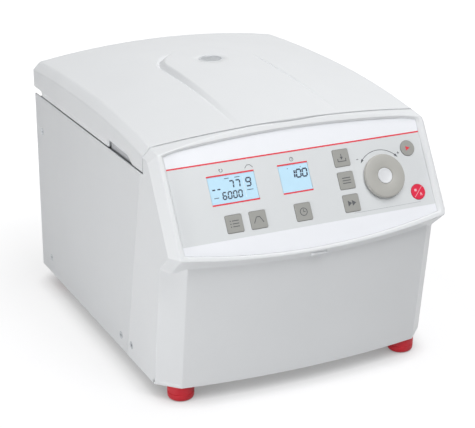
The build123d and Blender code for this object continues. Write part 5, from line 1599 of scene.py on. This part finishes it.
def set_lights():
    """White surround, large soft lamps above and in front, and a small low one at the left."""
    scene = bpy.context.scene
    scene.view_settings.view_transform = "Standard"
    world = bpy.data.worlds.new("studio")
    world.use_nodes = True
    tree = world.node_tree
    tree.nodes.clear()
    soft = {"Color": opaque(linear(SURROUND)), "Strength": SURROUND_STRENGTH}
    around = add_node(tree, "ShaderNodeBackground", soft)
    white = add_node(tree, "ShaderNodeBackground", {"Color": (1, 1, 1, 1), "Strength": 1.0})
    ways = {0: seen_directly(tree), 1: around.outputs[0], 2: white.outputs[0]}
    mix = add_node(tree, "ShaderNodeMixShader", None, ways)
    add_node(tree, "ShaderNodeOutputWorld", None, {"Surface": mix.outputs[0]})
    scene.world = world
    for name, place, size, power in LAMPS:
        data = bpy.data.lights.new(name, "AREA")
        data.shape = "SQUARE"
        data.size = size
        data.energy = power
        lamp = placed(name, data)
        lamp.location = place
        lamp.rotation_euler = (LAMP_AIM - Vector(place)).to_track_quat("-Z", "Y").to_euler()


# ---------------------------------------------------------------- operators
class CYTO_OT_stage(bpy.types.Operator):
    """Camera, floor, white surround and soft lamps"""

    bl_idname = "cyto.stage"
    bl_label = "Stage"

    def execute(self, context):
        set_camera()
        set_floor()
        set_lights()
        return {"FINISHED"}


class CYTO_OT_front_moulding(bpy.types.Operator):
    """Moulded front with its lip and control head"""

    bl_idname = "cyto.front_moulding"
    bl_label = "Front moulding"

    def execute(self, context):
        front_housing_piece()
        return {"FINISHED"}


class CYTO_OT_sheet_metal(bpy.types.Operator):
    """Steel sides, back, base and deck"""

    bl_idname = "cyto.sheet_metal"
    bl_label = "Sheet metal"

    def execute(self, context):
        for node in ("side_panel_left", "side_panel_right", "rear_panel"):
            softened(node, "powder_coated_steel", sizes().sheet_radius)
        dress("powder_coated_steel", "base_plate", "chamber_deck")
        return {"FINISHED"}


class CYTO_OT_lid(bpy.types.Operator):
    """Domed lid moulding with its raised panel and finger scoops"""

    bl_idname = "cyto.lid"
    bl_label = "Lid"

    def execute(self, context):
        lid_shell_piece()
        scoop_piece(-1)
        scoop_piece(1)
        return {"FINISHED"}


class CYTO_OT_lid_liner(bpy.types.Operator):
    """Steel liner under the lid and the striker of its lock"""

    bl_idname = "cyto.lid_liner"
    bl_label = "Lid liner"

    def execute(self, context):
        dress("straight_brushed_steel", "lid_liner")
        dress("zinc_plated_steel", "lid_striker")
        return {"FINISHED"}


class CYTO_OT_sight_window(bpy.types.Operator):
    """Sight glass with its ring and guard bars"""

    bl_idname = "cyto.sight_window"
    bl_label = "Sight window"

    def execute(self, context):
        dress("satin_nickel_plate", "sight_ring")
        dress("smoked_acrylic", "sight_glass")
        sight_bars()
        return {"FINISHED"}


class CYTO_OT_label(bpy.types.Operator):
    """Printed label of the control panel"""

    bl_idname = "cyto.label"
    bl_label = "Label"

    def execute(self, context):
        dress(printed_label(), "control_overlay")
        for name, shapes, ink in (
            ("label_red_lines", label_lines(), "red_screen_ink"),
            ("label_marks", label_marks(), "dark_screen_ink"),
            ("label_rule", [stroke(*KEY_RULE)], "pale_grey_screen_ink"),
        ):
            printed(name, shapes, ink, "root")
        return {"FINISHED"}


class CYTO_OT_displays(bpy.types.Operator):
    """Backlit displays with their figures"""

    bl_idname = "cyto.displays"
    bl_label = "Displays"

    def execute(self, context):
        dress("backlit_display_glass", "display_glasses")
        printed("display_figures", display_figures(), "liquid_crystal_segment", "root", GLASS_SINK)
        gap = [stroke(*FIELD_GAP)]
        printed("display_field_gap", gap, "display_field_gap", "root", GLASS_SINK)
        return {"FINISHED"}


class CYTO_OT_keys(bpy.types.Operator):
    """Square and round keys with their signs"""

    bl_idname = "cyto.keys"
    bl_label = "Keys"

    def execute(self, context):
        inks = {"start_key": "red_screen_ink", "stop_key": "pale_pad_print"}
        for key in KEY_PLACES:
            dress("crimson_key_moulding" if key == "stop_key" else "grey_key_moulding", key)
            ink = inks.get(key, "grey_pad_print")
            printed(key + "_sign", key_signs(key), ink, body_of(key), KEY_FACE)
        return {"FINISHED"}


class CYTO_OT_knob(bpy.types.Operator):
    """Turning knob with its pale hub"""

    bl_idname = "cyto.knob"
    bl_label = "Knob"

    def execute(self, context):
        knob_piece()
        knob_hub_piece()
        return {"FINISHED"}


class CYTO_OT_release_plug(bpy.types.Operator):
    """Plug of the emergency lid release"""

    bl_idname = "cyto.release_plug"
    bl_label = "Release plug"

    def execute(self, context):
        dress("pale_hub_moulding", "release_plug")
        return {"FINISHED"}


class CYTO_OT_screws(bpy.types.Operator):
    """Countersunk screws of the housing and feet"""

    bl_idname = "cyto.screws"
    bl_label = "Screws"

    def execute(self, context):
        housing_screws()
        return {"FINISHED"}


class CYTO_OT_feet(bpy.types.Operator):
    """Red rubber feet"""

    bl_idname = "cyto.feet"
    bl_label = "Feet"

    def execute(self, context):
        feet_piece()
        return {"FINISHED"}


class CYTO_OT_chamber(bpy.types.Operator):
    """Stainless bowl, its seal and the armour ring round it"""

    bl_idname = "cyto.chamber"
    bl_label = "Chamber"

    def execute(self, context):
        dress("brushed_stainless_steel", "chamber_bowl")
        dress("black_epdm_rubber", "chamber_gasket")
        dress("zinc_plated_steel", "guard_ring")
        return {"FINISHED"}


class CYTO_OT_drive(bpy.types.Operator):
    """Motor on its rubber mounts"""

    bl_idname = "cyto.drive"
    bl_label = "Drive"

    def execute(self, context):
        dress("enamelled_casting", "motor")
        dress("zinc_plated_steel", "motor_plate", "motor_shaft")
        dress("black_epdm_rubber", "motor_dampers")
        return {"FINISHED"}


class CYTO_OT_rotor(bpy.types.Operator):
    """Swing-out rotor head and its nut"""

    bl_idname = "cyto.rotor"
    bl_label = "Rotor"

    def execute(self, context):
        dress("clear_anodised_aluminium", "rotor_head", "rotor_nut")
        return {"FINISHED"}


class CYTO_OT_carriers(bpy.types.Operator):
    """Slide clips with their slides and sample funnels"""

    bl_idname = "cyto.carriers"
    bl_label = "Carriers"

    def execute(self, context):
        for place in range(1, 5):
            dress("clear_anodised_aluminium", f"slide_clip_{place}")
            dress("soda_lime_glass", f"glass_slide_{place}")
            dress("natural_polypropylene", f"sample_funnel_{place}")
        return {"FINISHED"}


class CYTO_OT_hinges(bpy.types.Operator):
    """Lid hinges with their balancing springs"""

    bl_idname = "cyto.hinges"
    bl_label = "Hinges"

    def execute(self, context):
        dress("zinc_plated_steel", "hinge_brackets", "hinge_pins", "lid_hinge_arms")
        hinge_coils()
        return {"FINISHED"}


class CYTO_OT_lid_lock(bpy.types.Operator):
    """Lid lock with its pawl and solenoid"""

    bl_idname = "cyto.lid_lock"
    bl_label = "Lid lock"

    def execute(self, context):
        dress("black_moulded_nylon", "latch_housing")
        dress("zinc_plated_steel", "latch_pawl", "latch_solenoid", "solenoid_plunger")
        return {"FINISHED"}


class CYTO_OT_boards(bpy.types.Operator):
    """Circuit boards"""

    bl_idname = "cyto.boards"
    bl_label = "Circuit boards"

    def execute(self, context):
        dress("green_solder_mask", "control_board", "main_board")
        return {"FINISHED"}


class CYTO_OT_mains_entry(bpy.types.Operator):
    """Appliance inlet with its fuse drawer and rocker switch"""

    bl_idname = "cyto.mains_entry"
    bl_label = "Mains entry"

    def execute(self, context):
        dress("black_moulded_nylon", "power_inlet", "fuse_drawer", "power_switch")
        return {"FINISHED"}


class CYTO_PT_parts(bpy.types.Panel):
    """Buttons for the pieces of the machine"""

    bl_idname = "CYTO_PT_parts"
    bl_label = "Cytocentrifuge"
    bl_space_type = "VIEW_3D"
    bl_region_type = "UI"
    bl_category = "Cytocentrifuge"

    def draw(self, context):
        for operator in OPERATORS:
            self.layout.operator(operator.bl_idname)


OPERATORS = (
    CYTO_OT_stage,
    CYTO_OT_front_moulding,
    CYTO_OT_sheet_metal,
    CYTO_OT_lid,
    CYTO_OT_lid_liner,
    CYTO_OT_sight_window,
    CYTO_OT_label,
    CYTO_OT_displays,
    CYTO_OT_keys,
    CYTO_OT_knob,
    CYTO_OT_release_plug,
    CYTO_OT_screws,
    CYTO_OT_feet,
    CYTO_OT_chamber,
    CYTO_OT_drive,
    CYTO_OT_rotor,
    CYTO_OT_carriers,
    CYTO_OT_hinges,
    CYTO_OT_lid_lock,
    CYTO_OT_boards,
    CYTO_OT_mains_entry,
)
CLASSES = (CytoSizes, CytoColours) + OPERATORS + (CYTO_PT_parts,)


def register():
    """Registers the property groups, operators and panel."""
    for group in CLASSES:
        bpy.utils.register_class(group)
    bpy.types.Scene.cyto_sizes = bpy.props.PointerProperty(type=CytoSizes)
    bpy.types.Scene.cyto_colours = bpy.props.PointerProperty(type=CytoColours)


def unregister():
    """Removes them again."""
    del bpy.types.Scene.cyto_colours
    del bpy.types.Scene.cyto_sizes
    for group in reversed(CLASSES):
        bpy.utils.unregister_class(group)


def main():
    """Builds every piece."""
    register()
    bpy.ops.cyto.stage()
    bpy.ops.cyto.front_moulding()
    bpy.ops.cyto.sheet_metal()
    bpy.ops.cyto.lid()
    bpy.ops.cyto.lid_liner()
    bpy.ops.cyto.sight_window()
    bpy.ops.cyto.label()
    bpy.ops.cyto.displays()
    bpy.ops.cyto.keys()
    bpy.ops.cyto.knob()
    bpy.ops.cyto.release_plug()
    bpy.ops.cyto.screws()
    bpy.ops.cyto.feet()
    bpy.ops.cyto.chamber()
    bpy.ops.cyto.drive()
    bpy.ops.cyto.rotor()
    bpy.ops.cyto.carriers()
    bpy.ops.cyto.hinges()
    bpy.ops.cyto.lid_lock()
    bpy.ops.cyto.boards()
    bpy.ops.cyto.mains_entry()


if __name__ == "__main__":
    main()
